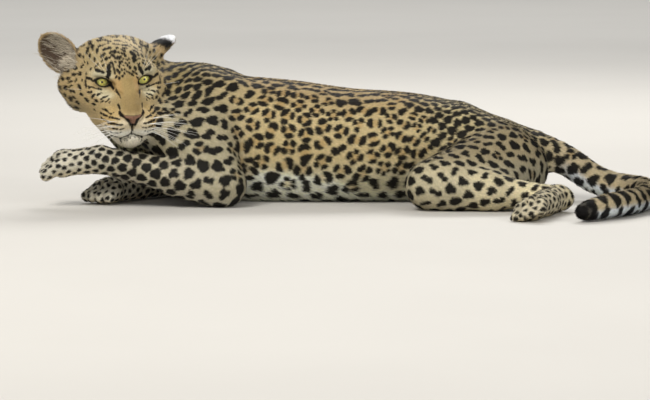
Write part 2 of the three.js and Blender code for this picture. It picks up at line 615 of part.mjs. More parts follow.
// Where a part is nearer than every other that is left: parted one by one from
// the ends inwards, so no thin piece stays between two cuts.
const coarse = [0, 1, 2].map((i) => lines(low[i] - 30, high[i] + 30, CUTTER_STEP));
const own = Object.fromEntries(names.map((name) => [name, reach(name)]));
function reach(name) {
  const [gx, gy, gz] = coarse, out = new Float32Array(gx.length * gy.length * gz.length);
  let n = 0;
  for (const x of gx) for (const y of gy) for (const z of gz) {
    let d = 1e3;
    for (const p of PARTS[name]) d = p.cuts ? d : blend(d, p.distance(x, y, z), p.k);
    out[n++] = d;
  }
  return out;
}
function territory(name, left) {
  const size = coarse.map((g) => g.length), mine = own[name], out = new Float32Array(mine.length);
  const others = left.map((o) => own[o]);
  let n = 0;
  for (let i = 0; i < size[0]; i++) for (let j = 0; j < size[1]; j++) for (let k = 0; k < size[2]; k++, n++) {
    let d = 1e3;
    for (const o of others) if (o[n] < d) d = o[n];
    const edge = i < 1 || j < 1 || k < 1 || i > size[0] - 2 || j > size[1] - 2 || k > size[2] - 2;
    out[n] = edge ? 1 : Math.max(mine[n] - d, mine[n] - 22);
  }
  return out;
}
const CUT_ORDER = [
  "tail_tip", "tail_middle", "tail_root", "hind_foot_left", "shank_left", "thigh_left",
  "hind_foot_right", "shank_right", "thigh_right", "forepaw_left", "forearm_left",
  "forepaw_right", "forearm_right", "head", "neck", "upper_arm_left", "upper_arm_right",
];
const solids = {};
for (const [i, name] of CUT_ORDER.entries()) {
  const left = [...CUT_ORDER.slice(i + 1), "trunk"];
  const region = simplify(largest(surface(territory(name, left), coarse)), CUTTER_TRIANGLES);
  solids[name] = largest(fromSolid(rest.intersect(toSolid(region))));
  rest = rest.subtract(toSolid(thicken(region, GAP))).subtract(toSolid(region));
}
solids.trunk = largest(fromSolid(rest));

// ears, set on the head
const skinned = toSolid(thicken(fromSolid(whole), GAP)).add(whole);
for (const name of ["ear_left", "ear_right"]) {
  const prims = PARTS[name].filter((p) => !p.cuts);
  const a = [0, 1, 2].map((i) => Math.min(...prims.map((p) => p.low[i])) - 8);
  const b = [0, 1, 2].map((i) => Math.max(...prims.map((p) => p.high[i])) + 8);
  const fine = [0, 1, 2].map((i) => lines(a[i], b[i], EAR_STEP));
  const cup = simplify(largest(surface(sample([name], fine, {}), fine)), EAR_TRIANGLES);
  solids[name] = largest(fromSolid(toSolid(cup).subtract(skinned)));
}
solids.eye_left = ball(1, 0);
solids.eye_right = ball(-1, 0);

// ---- The scene graph ------------------------------------------------------
const TAWNY = 0xb98a55, SAND = 0xc9a676, PALE = 0xd8c4a0, IRIS = 0xa8ab62, DARK = 0x4a3524;
const COLOURS = {
  trunk: TAWNY, neck: TAWNY, head: SAND, ear_left: DARK, ear_right: DARK, eye_left: IRIS, eye_right: IRIS,
  forepaw_left: PALE, forepaw_right: PALE, hind_foot_left: PALE, hind_foot_right: PALE, tail_tip: PALE,
};
const leopard = new THREE.Group();
for (const [name, { points, faces }] of Object.entries(solids)) {
  const geometry = new THREE.BufferGeometry();
  geometry.setAttribute("position", new THREE.BufferAttribute(new Float32Array(points.flat()), 3));
  geometry.setIndex(faces.flat());
  geometry.computeVertexNormals();
  const eye = name.startsWith("eye");
  const material = new THREE.MeshStandardMaterial({
    color: COLOURS[name] ?? SAND, roughness: eye ? 0.15 : 0.9, metalness: 0,
  });
  const mesh = new THREE.Mesh(geometry, material);
  mesh.name = name;
  leopard.add(mesh);
}
export default leopard;
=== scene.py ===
import bpy, math, mathutils
import numpy as np
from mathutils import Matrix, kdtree


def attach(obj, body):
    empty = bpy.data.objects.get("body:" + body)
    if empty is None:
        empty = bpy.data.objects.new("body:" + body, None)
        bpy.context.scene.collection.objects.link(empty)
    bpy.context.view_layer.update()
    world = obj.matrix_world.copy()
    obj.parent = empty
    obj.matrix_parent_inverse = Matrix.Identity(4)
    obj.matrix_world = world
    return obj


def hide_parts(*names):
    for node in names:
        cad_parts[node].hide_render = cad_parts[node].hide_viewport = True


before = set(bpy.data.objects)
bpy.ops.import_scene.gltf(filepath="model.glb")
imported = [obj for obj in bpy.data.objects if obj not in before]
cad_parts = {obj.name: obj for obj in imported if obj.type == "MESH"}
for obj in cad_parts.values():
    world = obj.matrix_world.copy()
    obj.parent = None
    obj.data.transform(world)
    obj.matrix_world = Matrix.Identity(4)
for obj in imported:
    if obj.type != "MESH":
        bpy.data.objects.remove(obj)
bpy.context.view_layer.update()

rng = np.random.default_rng(20)

# ---- Sizes ------------------------------------------------------------------
BODY_STEP, FACE_STEP = ((4.4, 2.0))  # the skin's mesh
FAR = 40.0
SQUARENESS = 2.25
# how softly each part runs into the ones before it, and how far the skin lies
# inside the tips of the coat
JOIN = {"trunk": 1, "neck": 34, "head": 22,
        "upper_arm_left": 22, "forearm_left": 8, "forepaw_left": 7,
        "upper_arm_right": 22, "forearm_right": 8, "forepaw_right": 7,
        "thigh_left": 26, "shank_left": 12, "hind_foot_left": 8,
        "thigh_right": 26, "shank_right": 12, "hind_foot_right": 8,
        "tail_root": 26, "tail_middle": 4, "tail_tip": 4, "ear_left": 4, "ear_right": 4}
DEPTH = {"trunk": 4.5, "neck": 5.0, "head": 4.5, "forepaw_left": 2.2, "forepaw_right": 2.2,
         "hind_foot_left": 2.2, "hind_foot_right": 2.2, "tail_root": 4.5, "tail_middle": 5.0, "tail_tip": 5.0,
         "ear_left": 2.0, "ear_right": 2.0}
DEG = math.pi / 180


class Math:
    sin, cos, abs, sqrt, PI = math.sin, math.cos, abs, math.sqrt, math.pi
    min, max = min, max


def add(a, b): return [x + y for x, y in zip(a, b)]
def sub(a, b): return [x - y for x, y in zip(a, b)]
def mul(a, s): return [x * s for x in a]
def mix(a, b, t): return [x + (y - x) * t for x, y in zip(a, b)]
def dot(a, b): return sum(x * y for x, y in zip(a, b))
def cross(a, b): return [a[1] * b[2] - a[2] * b[1], a[2] * b[0] - a[0] * b[2], a[0] * b[1] - a[1] * b[0]]
def unit(a): return mul(a, 1 / math.sqrt(dot(a, a)))
def count(l): return len(l)


# ---- Primitives: signed distances, negative inside --------------------------
PARTS = {}
def put(part, primitive): PARTS.setdefault(part, []).append(primitive)
def cone(part, a, b, ra, rb, k): put(part, ("cone", a, b, ra, rb, k))
def ell(part, c, r, axes, k): put(part, ("ell", c, r, axes, k))
def scoop(part, c, r, axes, k): put(part, ("scoop", c, r, axes, k))
def loft(part, stations, k): put(part, ("loft", stations, k))


def bounds(p):
    if p[0] in ("cone", "groove"):
        _, a, b, ra, rb, k = p
        return [min(a[i] - ra, b[i] - rb) for i in range(3)], [max(a[i] + ra, b[i] + rb) for i in range(3)]
    if p[0] in ("ell", "scoop", "slit"):
        _, c, r, axes, k = p
        h = [math.sqrt(sum((r[j] * axes[j][i]) ** 2 for j in range(3))) for i in range(3)]
        return sub(c, h), add(c, h)
    s = p[1]
    return ([s[0][0], min(t[4] - t[3] for t in s), min(t[2] for t in s)],
            [s[-1][0], max(t[4] + t[3] for t in s), max(t[1] for t in s)])


def through(x, xs, ys):
    """A smooth curve through the points (xs, ys)."""
    m = np.empty(len(xs))
    m[1:-1] = (ys[2:] - ys[:-2]) / (xs[2:] - xs[:-2])
    m[0], m[-1] = (ys[1] - ys[0]) / (xs[1] - xs[0]), (ys[-1] - ys[-2]) / (xs[-1] - xs[-2])
    i = np.clip(np.searchsorted(xs, x) - 1, 0, len(xs) - 2)
    h = xs[i + 1] - xs[i]
    t = np.clip((x - xs[i]) / h, 0, 1)
    return ((2 * t**3 - 3 * t**2 + 1) * ys[i] + (t**3 - 2 * t**2 + t) * h * m[i]
            + (3 * t**2 - 2 * t**3) * ys[i + 1] + (t**3 - t**2) * h * m[i + 1])


def distance(p, P):
    if p[0] in ("cone", "groove"):
        _, a, b, ra, rb, k = p
        a, b = np.array(a, np.float32), np.array(b, np.float32)
        way = b - a
        long = float(np.sqrt(way @ way))
        way = way / np.float32(long)
        slope = (rb - ra) / long
        lean = slope / math.sqrt(max(1 - slope * slope, 1e-4))
        q = P - a
        along = q @ way
        t = np.clip(along, 0, long)
        off = np.sqrt(((q - t[..., None] * way) ** 2).sum(-1))
        t = np.clip(along + off * np.float32(lean), 0, long)
        return np.sqrt(((q - t[..., None] * way) ** 2).sum(-1)) - np.float32(ra) - np.float32(slope) * t
    if p[0] in ("ell", "scoop"):
        _, c, r, axes, k = p
        q = (P - np.array(c, np.float32)) @ np.array(axes, np.float32).T / np.array(r, np.float32)
        k0 = np.sqrt((q * q).sum(-1))
        k1 = np.sqrt(((q / np.array(r, np.float32)) ** 2).sum(-1))
        return k0 * (k0 - 1) / np.maximum(k1, 1e-9)
    if p[0] == "slit":  # the lens between two lids: half width r[0], depth r[1], half height r[2]
        _, c, r, axes, k = p
        q = (P - np.array(c, np.float32)) @ np.array(axes, np.float32).T
        R = (r[0] ** 2 + r[2] ** 2) / (2 * r[2])
        up = np.sqrt(q[..., 0] ** 2 + (q[..., 2] + (R - r[2])) ** 2) - R
        down = np.sqrt(q[..., 0] ** 2 + (q[..., 2] - (R - r[2])) ** 2) - R
        return np.maximum(np.maximum(up, down), np.abs(q[..., 1]) - r[1]).astype(np.float32)
    st = np.array(p[1], float)
    x = P[..., 0].astype(float)
    top, bottom, half, middle = [through(x, st[:, 0], st[:, j]) for j in (1, 2, 3, 4)]
    dy, dz, hz = P[..., 1] - middle, P[..., 2] - (top + bottom) / 2, (top - bottom) / 2
    rho = ((np.abs(dy) / half) ** SQUARENESS + (np.abs(dz) / hz) ** SQUARENESS) ** (1 / SQUARENESS)
    side = np.where(rho > 1e-6, np.sqrt(dy * dy + dz * dz) * (1 - 1 / np.maximum(rho, 1e-6)), -np.minimum(half, hz))
    past = np.maximum(np.maximum(st[0, 0] - x, x - st[-1, 0]), 0)
    return np.where(past > 0, np.sqrt(np.maximum(side, 0) ** 2 + past**2), side).astype(np.float32)


def blend(a, b, k):
    h = np.maximum(k - np.abs(a - b), 0) / k
    return np.minimum(a, b) - h * h * (k * 0.25)


def combine(f, d, p):
    return -blend(-f, d, p[-1]) if p[0] in ("scoop", "groove", "slit") else blend(f, d, p[-1])


# ---- The shape --------------------------------------------------------------
# ---- Frame and pose -------------------------------------------------------
# Millimetres. +X runs from head to tail, +Y to the animal's right, +Z up, and
# the floor is z = 0. The animal lies on its chest and belly and looks to its
# left, towards -Y.

# The head's own frame: its origin is midway between the eyes.
EYES = [-419.5, -112, 231.5]
HEAD_YAW = 14.5
HEAD_PITCH = 5
HEAD_ROLL = 2.5
HY = HEAD_YAW * DEG
HP = HEAD_PITCH * DEG
HR = HEAD_ROLL * DEG
# forward, then up and left of the head, pitched, turned and rolled in that order
HF = [Math.sin(HY) * Math.cos(HP), -Math.cos(HY) * Math.cos(HP), -Math.sin(HP)]
HU0 = [Math.sin(HY) * Math.sin(HP), -Math.cos(HY) * Math.sin(HP), Math.cos(HP)]
HL0 = [Math.cos(HY), Math.sin(HY), 0]
HL = add(mul(HL0, Math.cos(HR)), mul(HU0, Math.sin(HR)))
HU = add(mul(HU0, Math.cos(HR)), mul(HL0, -Math.sin(HR)))
def inHead(left, forward, up):
  return add(add(add(EYES, mul(HL, left)), mul(HF, forward)), mul(HU, up))
def headBlob(part, c, r, k):
  ell(part, inHead(c[0], c[1], c[2]), r, [HL, HF, HU], k)
def headScoop(part, c, r, k, slant):
  side = unit(add(mul(HL, Math.cos(slant)), mul(HU, Math.sin(slant))))
  scoop(part, inHead(c[0], c[1], c[2]), r, [side, HF, unit(cross(side, HF))], k)
def headBar(part, a, b, ra, rb, k):
  cone(part, inHead(a[0], a[1], a[2]), inHead(b[0], b[1], b[2]), ra, rb, k)

# A run of tapering lengths along a smooth curve through the path's points.
def curveAt(path, i, t):
  end = count(path) - 1
  a = path[Math.max(i - 1, 0)]
  b = path[i]
  c = path[Math.min(i + 1, end)]
  d = path[Math.min(i + 2, end)]
  linear = add(b, mul(sub(c, a), 0.5 * t))
  square = mul(sub(add(mul(a, 2), mul(c, 4)), add(mul(b, 5), d)), 0.5 * t * t)
  cube = mul(add(sub(mul(b, 3), mul(c, 3)), sub(d, a)), 0.5 * t * t * t)
  return add(linear, add(square, cube))
def chain(part, path, radii, first, last):
  for i in range(first, last):
    for j in range(0, 3):
      ra = radii[i] + (radii[i + 1] - radii[i]) * j / 3
      rb = radii[i] + (radii[i + 1] - radii[i]) * (j + 1) / 3
      cone(part, curveAt(path, i, j / 3), curveAt(path, i, (j + 1) / 3), ra, rb, 2)

# ---- Trunk ----------------------------------------------------------------
# Stations along X: [x, top, bottom, half width, middle's y].
TRUNK = [
  [-352, 196, 62, 52, -4],
  [-322, 222, 24, 78, -2],
  [-275, 240, 2, 97, 0],
  [-200, 235, -7, 108, 0],
  [-100, 226, -9, 112, 0],
  [0, 212, -9, 113, 0],
  [100, 205, -9, 105, 0],
  [160, 196, -8, 97, 0],
  [215, 182, -6, 88, 0],
  [265, 163, 2, 78, 0],
  [315, 141, 14, 62, 0],
  [352, 123, 40, 42, 0],
]
loft("trunk", TRUNK, 26)
# shoulder blades, with their upper ends at the withers
for s in [-1, 1]:
  cone("trunk", [-272, s * 46, 219], [-318, s * 88, 142], 30, 46, 30)
  cone("trunk", [-226, s * 50, 205], [-262, s * 88, 120], 28, 44, 34)
  # croup and the root of the thigh
  cone("trunk", [206, s * 38, 144], [286, s * 40, 96], 36, 40, 26)
cone("trunk", [-300, 0, 229], [-235, 0, 223], 22, 22, 30)
cone("trunk", [296, 0, 98], [346, 0, 80], 42, 38, 24)

# ---- Neck -----------------------------------------------------------------
cone("neck", [-300, 0, 168], [-372, 4, 182], 84, 78, 20)
cone("neck", [-372, 4, 182], [-425, 8, 200], 78, 70, 30)
cone("neck", [-318, -20, 118], [-392, -36, 140], 66, 56, 30)
cone("neck", [-392, -36, 140], [-424, -62, 158], 56, 46, 30)

# ---- Head -----------------------------------------------------------------
headBlob("head", [0, -72, 12], [64, 84, 62], 10)
headBar("head", [-36, -74, 38], [32, -74, 37], 32, 32, 18)
headBlob("head", [0, -26, 18], [52, 46, 42], 24)
headBar("head", [0, -8, 6], [0, 34, -26], 26, 25, 22)
headBar("head", [0, 34, -26], [0, 60, -44], 25, 21, 14)
for s in [-1, 1]:
  # brow, cheekbone, the fill below the eye, and the cheek
  headBar("head", [s * 26, 4, 22], [s * 54, -14, 14], 9, 9, 16)
  headBlob("head", [s * 50, -36, -24], [36, 46, 39], 26)
  headBlob("head", [s * 36, 2, -34], [26, 30, 24], 22)
  headBar("head", [s * 60, -62, -26], [s * 64, -84, -14], 33, 32, 26)
  # whisker pad and its root
  headBlob("head", [s * 22, 50, -69], [25, 30, 22], 12)
  headBar("head", [s * 24, 28, -62], [s * 35, -6, -53], 26, 24, 20)
  # lower jaw
  headBar("head", [s * 38, -30, -62], [s * 13, 34, -93], 22, 17, 18)
  headBlob("head", [s * 62, -84, 28], [26, 24, 24], 24)
headBar("head", [0, 50, -56], [0, 66, -55], 19, 16, 10)
headBlob("head", [0, 40, -99], [25, 26, 19], 10)
headBlob("head", [0, -40, -66], [46, 56, 38], 28)
# the ruff behind the right cheek, pushed up by the foreleg under it
headBar("head", [-70, -64, -32], [-84, -70, -12], 27, 28, 22)
# eyes: the socket, the ball with its lids over it, and the slit between them
EYE_RADIUS = 17.5
EYE_OUT = 39
EYE_BACK = -22
EYE_SLANT = 0.3
for s in [-1, 1]:
  headScoop("head", [s * (EYE_OUT + 3), 15, -2], [23, 16, 16], 10, s * EYE_SLANT)
  headBlob("head", [s * EYE_OUT, EYE_BACK, 0], [EYE_RADIUS + 3.5, EYE_RADIUS + 3.5, EYE_RADIUS + 3.5], 7)

# ---- Ears -----------------------------------------------------------------
# A cup about its own axes: from base to tip, across, and out of its mouth.
def ear(part, base, tip, mouth, length, width):
  up = unit(sub(tip, base))
  out = unit(sub(mouth, mul(up, dot(mouth, up))))
  wide = cross(up, out)
  middle = add(base, mul(up, length * 0.46))
  ell(part, middle, [width * 0.5, length * 0.54, 17], [wide, up, out], 6)
  cone(part, add(base, mul(out, -4)), add(base, mul(up, 18)), 22, 19, 12)
  scoop(part, add(middle, add(mul(out, 14), mul(up, 3))), [width * 0.5 - 5, length * 0.54 - 6, 20], [wide, up, out], 5)
  ell(part, add(base, add(mul(up, 10), mul(out, 2))), [17, 13, 9], [wide, up, out], 8)
def headWay(left, forward, up):
  return add(add(mul(HL, left), mul(HF, forward)), mul(HU, up))
ear("ear_right", inHead(-78, -76, 15), inHead(-131, -84, 75), headWay(-0.15, 1, -0.15), 90, 68)
ear("ear_left", inHead(70, -86, 25), inHead(119, -124, 56), headWay(0.7, -0.2, -0.7), 72, 64)

# ---- Forelegs -------------------------------------------------------------
SHOULDER_L = [-338, -92, 138]
ELBOW_L = [-234, -140, 36]
WRIST_L = [-462, -140, 88]
KNUCKLES_L = [-532, -128, 80]
SHOULDER_R = [-338, 92, 134]
ELBOW_R = [-262, 138, 36]
WRIST_R = [-398, -6, 27]
KNUCKLES_R = [-452, -74, 24]
ELBOW_RADIUS = 38
WRIST_RADIUS = 28
def foreleg(side, shoulder, elbow, wrist):
  cone("upper_arm_" + side, shoulder, elbow, 56, ELBOW_RADIUS, 24)
  cone("upper_arm_" + side, add(shoulder, [72, 0, 6]), add(elbow, [6, 6, 12]), 44, 34, 26)
  cone("forearm_" + side, elbow, mix(elbow, wrist, 0.42), ELBOW_RADIUS, 35, 12)
  cone("forearm_" + side, mix(elbow, wrist, 0.42), wrist, 35, WRIST_RADIUS, 12)
  cone("forearm_" + side, mix(elbow, wrist, 0.08), mix(elbow, wrist, 0.35), 40, 37, 14)
# A paw: palm from ankle to knuckles, a bar across the knuckles, and four toes fanned out.
def paw(part, ankle, knuckles, upward, size):
  along = unit(sub(knuckles, ankle))
  across = unit(cross(along, upward))
  above = cross(across, along)
  cone(part, ankle, knuckles, 27 * size, 25 * size, 12)
  cone(part, add(knuckles, mul(across, -12 * size)), add(knuckles, mul(across, 12 * size)), 21 * size, 21 * size, 12)
  for t in [-1.5, -0.5, 0.5, 1.5]:
    reach = (36 - 5 * Math.abs(t)) * size
    root = add(knuckles, add(mul(across, t * 14 * size), mul(above, 4 * size)))
    tip = add(add(knuckles, mul(along, reach)), add(mul(across, t * 18 * size), mul(above, -9 * size)))
    cone(part, root, tip, 14 * size, 12.5 * size, 5)
foreleg("left", SHOULDER_L, ELBOW_L, WRIST_L)
foreleg("right", SHOULDER_R, ELBOW_R, WRIST_R)
paw("forepaw_left", WRIST_L, KNUCKLES_L, [-0.25, -0.35, 1], 1.0)
paw("forepaw_right", WRIST_R, KNUCKLES_R, [0, 0, 1], 1.0)

# ---- Hind legs ------------------------------------------------------------
HIP_L = [276, -66, 84]
KNEE_L = [146, -196, 46]
HOCK_L = [378, -226, 25]
TOES_L = [322, -372, 22]
HIP_R = [276, 66, 84]
KNEE_R = [150, 186, 46]
HOCK_R = [352, 222, 25]
TOES_R = [272, 346, 22]
def hindleg(side, hip, knee, hock):
  cone("thigh_" + side, hip, knee, 66, 48, 24)
  cone("thigh_" + side, add(hip, [30, 0, -14]), mix(knee, hock, 0.22), 58, 44, 30)
  cone("thigh_" + side, add(hip, [48, 0, -26]), mix(knee, hock, 0.5), 42, 34, 30)
  cone("shank_" + side, knee, mix(knee, hock, 0.45), 44, 37, 16)
  cone("shank_" + side, mix(knee, hock, 0.45), mix(knee, hock, 0.86), 37, 24, 16)
  cone("shank_" + side, mix(knee, hock, 0.86), hock, 24, 24, 12)
  cone("shank_" + side, mix(knee, hock, 0.9), add(hock, [14, 0, 0]), 19, 19, 10)
def hindfoot(part, hock, toes, upward):
  instep = mix(hock, toes, 0.5)
  cone(part, hock, instep, 26, 23, 12)
  paw(part, instep, toes, upward, 0.92)
hindleg("left", HIP_L, KNEE_L, HOCK_L)
hindleg("right", HIP_R, KNEE_R, HOCK_R)
hindfoot("hind_foot_left", HOCK_L, TOES_L, [-0.3, 0.1, 1])
hindfoot("hind_foot_right", HOCK_R, TOES_R, [-0.3, -0.1, 1])

# ---- Tail -----------------------------------------------------------------
# Three lengths. It leaves the rump level, comes down to the floor and turns.
TAIL_PATH = [
  [316, 0, 92], [372, -1, 88], [416, -4, 68], [452, -12, 44], [486, -26, 30], [520, -54, 27],
  [543, -98, 27], [549, -152, 26], [540, -208, 26], [519, -262, 25], [490, -312, 25], [455, -356, 24], [416, -394, 19],
]
TAIL_RADII = [38, 33, 31, 30, 29, 28, 28, 27, 27, 26, 26, 25, 20]
chain("tail_root", TAIL_PATH, TAIL_RADII, 0, 4)
chain("tail_middle", TAIL_PATH, TAIL_RADII, 4, 8)
chain("tail_tip", TAIL_PATH, TAIL_RADII, 8, 12)

# ---- Finer folds, on the skin only ------------------------------------------
def face_depth(l, u):
    """How far forward the coat's surface is at left l and up u."""
    F = np.arange(112.0, -60.0, -0.5)
    P = np.array([inHead(l, f, u) for f in F], np.float32)
    d = np.full(len(F), FAR, np.float32)
    for p in PARTS["head"]:
        if p[0] in ("cone", "ell", "scoop"):
            d = combine(d, distance(p, P), p)
    return float(F[np.argmax(d < -coat_depth("head", P))])


def coat_depth(name, P):
    """How far the skin lies inside the coat's tips: least at the eyes, nose and lips."""
    if name != "head":
        return np.float32(DEPTH.get(name, 4.0))
    l, f, u = local(P)
    d = 1.3 + 2.6 * step01(8, -62, f)
    eye = np.minimum(*[np.sqrt((l - s * EYE_OUT) ** 2 + (u + 1) ** 2 + (np.minimum(f + 8, 0) * 0.8) ** 2) for s in (-1, 1)])
    return (0.9 + (d - 0.9) * step01(16, 34, eye)).astype(np.float32)


O_, L_, F_, U_ = (np.array(v) for v in (EYES, HL, HF, HU))
def local(P):
    """Head-local left, forward and up of points."""
    q = np.asarray(P, float) - O_
    return q @ L_, q @ F_, q @ U_


def step01(a, b, x):
    t = np.clip((x - a) / (b - a), 0, 1)
    return t * t * (3 - 2 * t)


FOLDS = []
def fold(points, ra, rb, k, sink=0.25):
    """A groove along the face through points (left, up); sink is how far its middle lies under the surface, in radii."""
    ends = [inHead(l, face_depth(l, u) - sink * ra, u) for l, u in points]
    for i, (a, b) in enumerate(zip(ends[:-1], ends[1:])):
        n = len(ends) - 1
        FOLDS.append(("groove", a, b, ra + (rb - ra) * i / n, ra + (rb - ra) * (i + 1) / n, k))


def ridge(points, ra, rb, k, sink=0.7):
    """A raised bar along the face."""
    ends = [inHead(l, face_depth(l, u) - sink * ra, u) for l, u in points]
    for i, (a, b) in enumerate(zip(ends[:-1], ends[1:])):
        n = len(ends) - 1
        FOLDS.append(("cone", a, b, ra + (rb - ra) * i / n, ra + (rb - ra) * (i + 1) / n, k))


# the nose leather: a pad with rolled wings, the nostrils between them
ridge([(-12, -55), (0, -54), (12, -55)], 6.0, 6.0, 5, 0.72)
ridge([(0, -56), (0, -68)], 6.5, 4.5, 5, 0.72)
for s in (-1, 1):
    ridge([(s * 14, -54), (s * 17, -58), (s * 13.5, -64)], 3.6, 2.8, 4, 0.55)
    fold([(s * 7.5, -62.5), (s * 11, -61)], 3.2, 3.4, 1.5, -0.1)
    fold([(s * 11, -61), (s * 15.5, -60), (s * 19.5, -56.5), (s * 21, -52.5)], 2.2, 1.1, 2, 0.1)
    # whisker pad and lips, from the middle out to the corner of the mouth
    ridge([(s * 9, -80), (s * 22, -84), (s * 34, -82)], 8, 7, 8, 0.82)
    fold([(0, -87), (s * 8, -92.5), (s * 20, -95.5), (s * 33, -94), (s * 44, -86)], 1.9, 1.4, 2.5)
    # the crease between whisker pad and cheek, soft and shallow
    fold([(s * 33, -42), (s * 43, -55), (s * 48, -68)], 2.4, 2.6, 9, -0.35)
    # folds of the lids: a brow ridge, the upper lid's fold, and the pouch under the lower lid
    c, t = math.cos(EYE_SLANT), math.sin(EYE_SLANT)
    def by_eye(a, b):
        return s * (EYE_OUT + 0.5 + a * c - b * t), -1 + a * t + b * c
    ridge([by_eye(a, 16.5 - 0.010 * a * a) for a in (-20, -12, -4, 4, 12, 20)], 5.0, 4.0, 6, 0.75)
    fold([by_eye(a, 11.6 - 0.020 * a * a) for a in (-16, -10, -4, 2, 8, 14)], 1.2, 1.1, 2, 0.15)
    fold([by_eye(a, -12.2 + 0.018 * a * a) for a in (-15, -9, -3, 3, 9, 14)], 1.3, 1.0, 3, 0.1)
    # the inner corner, running down beside the nose
    fold([by_eye(-14, -1.5), by_eye(-20, -4.5), (s * 15.5, -15)], 2.2, 1.0, 2, 0.1)
fold([(0, -70), (0, -80), (0, -90)], 1.7, 1.7, 2)
for s in (-1, 1):
    c, t = math.cos(EYE_SLANT), math.sin(EYE_SLANT)
    side = unit(add(mul(HL, math.cos(s * EYE_SLANT)), mul(HU, math.sin(s * EYE_SLANT))))
    FOLDS.append(("slit", inHead(s * (EYE_OUT + 0.3), EYE_BACK + 20, -1), [10.4, 20, 5.7], [side, HF, unit(cross(side, HF))], 1.2))
PARTS["head"] += FOLDS


# clefts between the toes
def clefts(part, ankle, knuckles, upward, size):
    along = unit(sub(knuckles, ankle))
    across = unit(cross(along, upward))
    above = cross(across, along)
    for t in (-1, 0, 1):
        a = add(knuckles, add(mul(across, 14.5 * t * size), add(mul(above, 19 * size), mul(along, -2 * size))))
        b = add(knuckles, add(mul(across, 18 * t * size), add(mul(above, 4 * size), mul(along, 42 * size))))
        put(part, ("groove", a, b, 1.2 * size, 2.6 * size, 3))


clefts("forepaw_left", WRIST_L, KNUCKLES_L, [-0.25, -0.35, 1], 1.0)
clefts("forepaw_right", WRIST_R, KNUCKLES_R, [0, 0, 1], 1.0)
clefts("hind_foot_left", mix(HOCK_L, TOES_L, 0.5), TOES_L, [-0.3, 0.1, 1], 0.92)
clefts("hind_foot_right", mix(HOCK_R, TOES_R, 0.5), TOES_R, [-0.3, -0.1, 1], 0.92)


# ---- The skin: one closed mesh over every part ------------------------------
def lines(*stops):
    """Grid lines through (from, step), (from, step) ... (to,)."""
    out = []
    for (a, h), (b, *_) in zip(stops[:-1], stops[1:]):
        n = max(round((b - a) / h), 1)
        out += [a + (b - a) * i / n for i in range(n)]
    return np.array(out + [stops[-1][0]], np.float32)


B, Fs = BODY_STEP, FACE_STEP
GX = lines((-592, B), (-500, Fs), (-362, B), (592,))
GY = lines((-432, B), (-194, Fs), (-76, B), (408,))
GZ = lines((-9, B), (108, Fs), (268, B), (330,))


def span(g, low, high):
    return slice(max(int(np.searchsorted(g, low)) - 1, 0), min(int(np.searchsorted(g, high)) + 1, len(g)))


def field():
    F = np.full((len(GX), len(GY), len(GZ)), FAR, np.float32)
    for name, prims in PARTS.items():
        lows, highs = zip(*[bounds(p) for p in prims])
        box = [span(g, l - FAR, h + FAR) for g, l, h in zip((GX, GY, GZ), np.min(lows, 0), np.max(highs, 0))]
        f = np.full([s.stop - s.start for s in box], FAR, np.float32)
        for p in prims:
            reach = 14 if p[0] in ("groove", "slit") else FAR
            l, h = bounds(p)
            own = [span(g, a - reach, b + reach) for g, a, b in zip((GX, GY, GZ), l, h)]
            own = [slice(max(s.start, t.start), min(s.stop, t.stop)) for s, t in zip(own, box)]
            P = np.stack(np.meshgrid(GX[own[0]], GY[own[1]], GZ[own[2]], indexing="ij"), -1)
            part = f[tuple(slice(s.start - t.start, s.stop - t.start) for s, t in zip(own, box))]
            part[...] = combine(part, distance(p, P), p)
        if name == "head":
            P = np.stack(np.meshgrid(GX[box[0]], GY[box[1]], GZ[box[2]], indexing="ij"), -1)
            f = f + coat_depth(name, P)
        else:
            f = f + coat_depth(name, None)
        F[tuple(box)] = blend(F[tuple(box)], f, JOIN[name])
    return np.maximum(F, 0.4 - GZ[None, None, :])


def surface(F):
    """A closed quad mesh where F = 0."""
    S = F < 0
    nx, ny, nz = F.shape
    c = np.zeros((nx - 1, ny - 1, nz - 1), np.uint8)
    for i in (0, 1):
        for j in (0, 1):
            for k in (0, 1):
                c += S[i:nx - 1 + i, j:ny - 1 + j, k:nz - 1 + k]
    cells = np.argwhere((c > 0) & (c < 8))
    index = np.full(c.shape, -1, np.int32)
    index[tuple(cells.T)] = np.arange(len(cells))
    total, hits = np.zeros((len(cells), 3)), np.zeros(len(cells))
    G = (GX, GY, GZ)
    for axis in range(3):
        others = [a for a in range(3) if a != axis]
        for u in (0, 1):
            for v in (0, 1):
                a = cells.T.copy()
                a[others[0]] += u
                a[others[1]] += v
                b = a.copy()
                b[axis] += 1
                fa, fb = F[tuple(a)], F[tuple(b)]
                m = (fa < 0) != (fb < 0)
                t = fa[m] / (fa[m] - fb[m])
                spot = np.empty((m.sum(), 3))
                for k in range(3):
                    spot[:, k] = G[k][a[k][m]]
                spot[:, axis] += t * (G[axis][b[axis][m]] - G[axis][a[axis][m]])
                total[m] += spot
                hits[m] += 1
    V = total / hits[:, None]
    quads = []
    for axis in range(3):
        o1, o2 = [a for a in range(3) if a != axis]
        lo = [slice(None)] * 3
        hi = [slice(None)] * 3
        lo[axis], hi[axis] = slice(0, -1), slice(1, None)
        cut = S[tuple(lo)] != S[tuple(hi)]
        at = np.argwhere(cut)
        at = at[(at[:, o1] > 0) & (at[:, o2] > 0) & (at[:, o1] < F.shape[o1] - 1) & (at[:, o2] < F.shape[o2] - 1)]
        ring = []
        for d1, d2 in ((-1, -1), (0, -1), (0, 0), (-1, 0)):
            q = at.copy()
            q[:, o1] += d1
            q[:, o2] += d2
            ring.append(index[tuple(q.T)])
        q = np.stack(ring, 1)
        flip = ~S[tuple(at.T)]
        if axis == 1:
            flip = ~flip
        q[flip] = q[flip][:, ::-1]
        quads.append(q)
    return V, np.concatenate(quads)


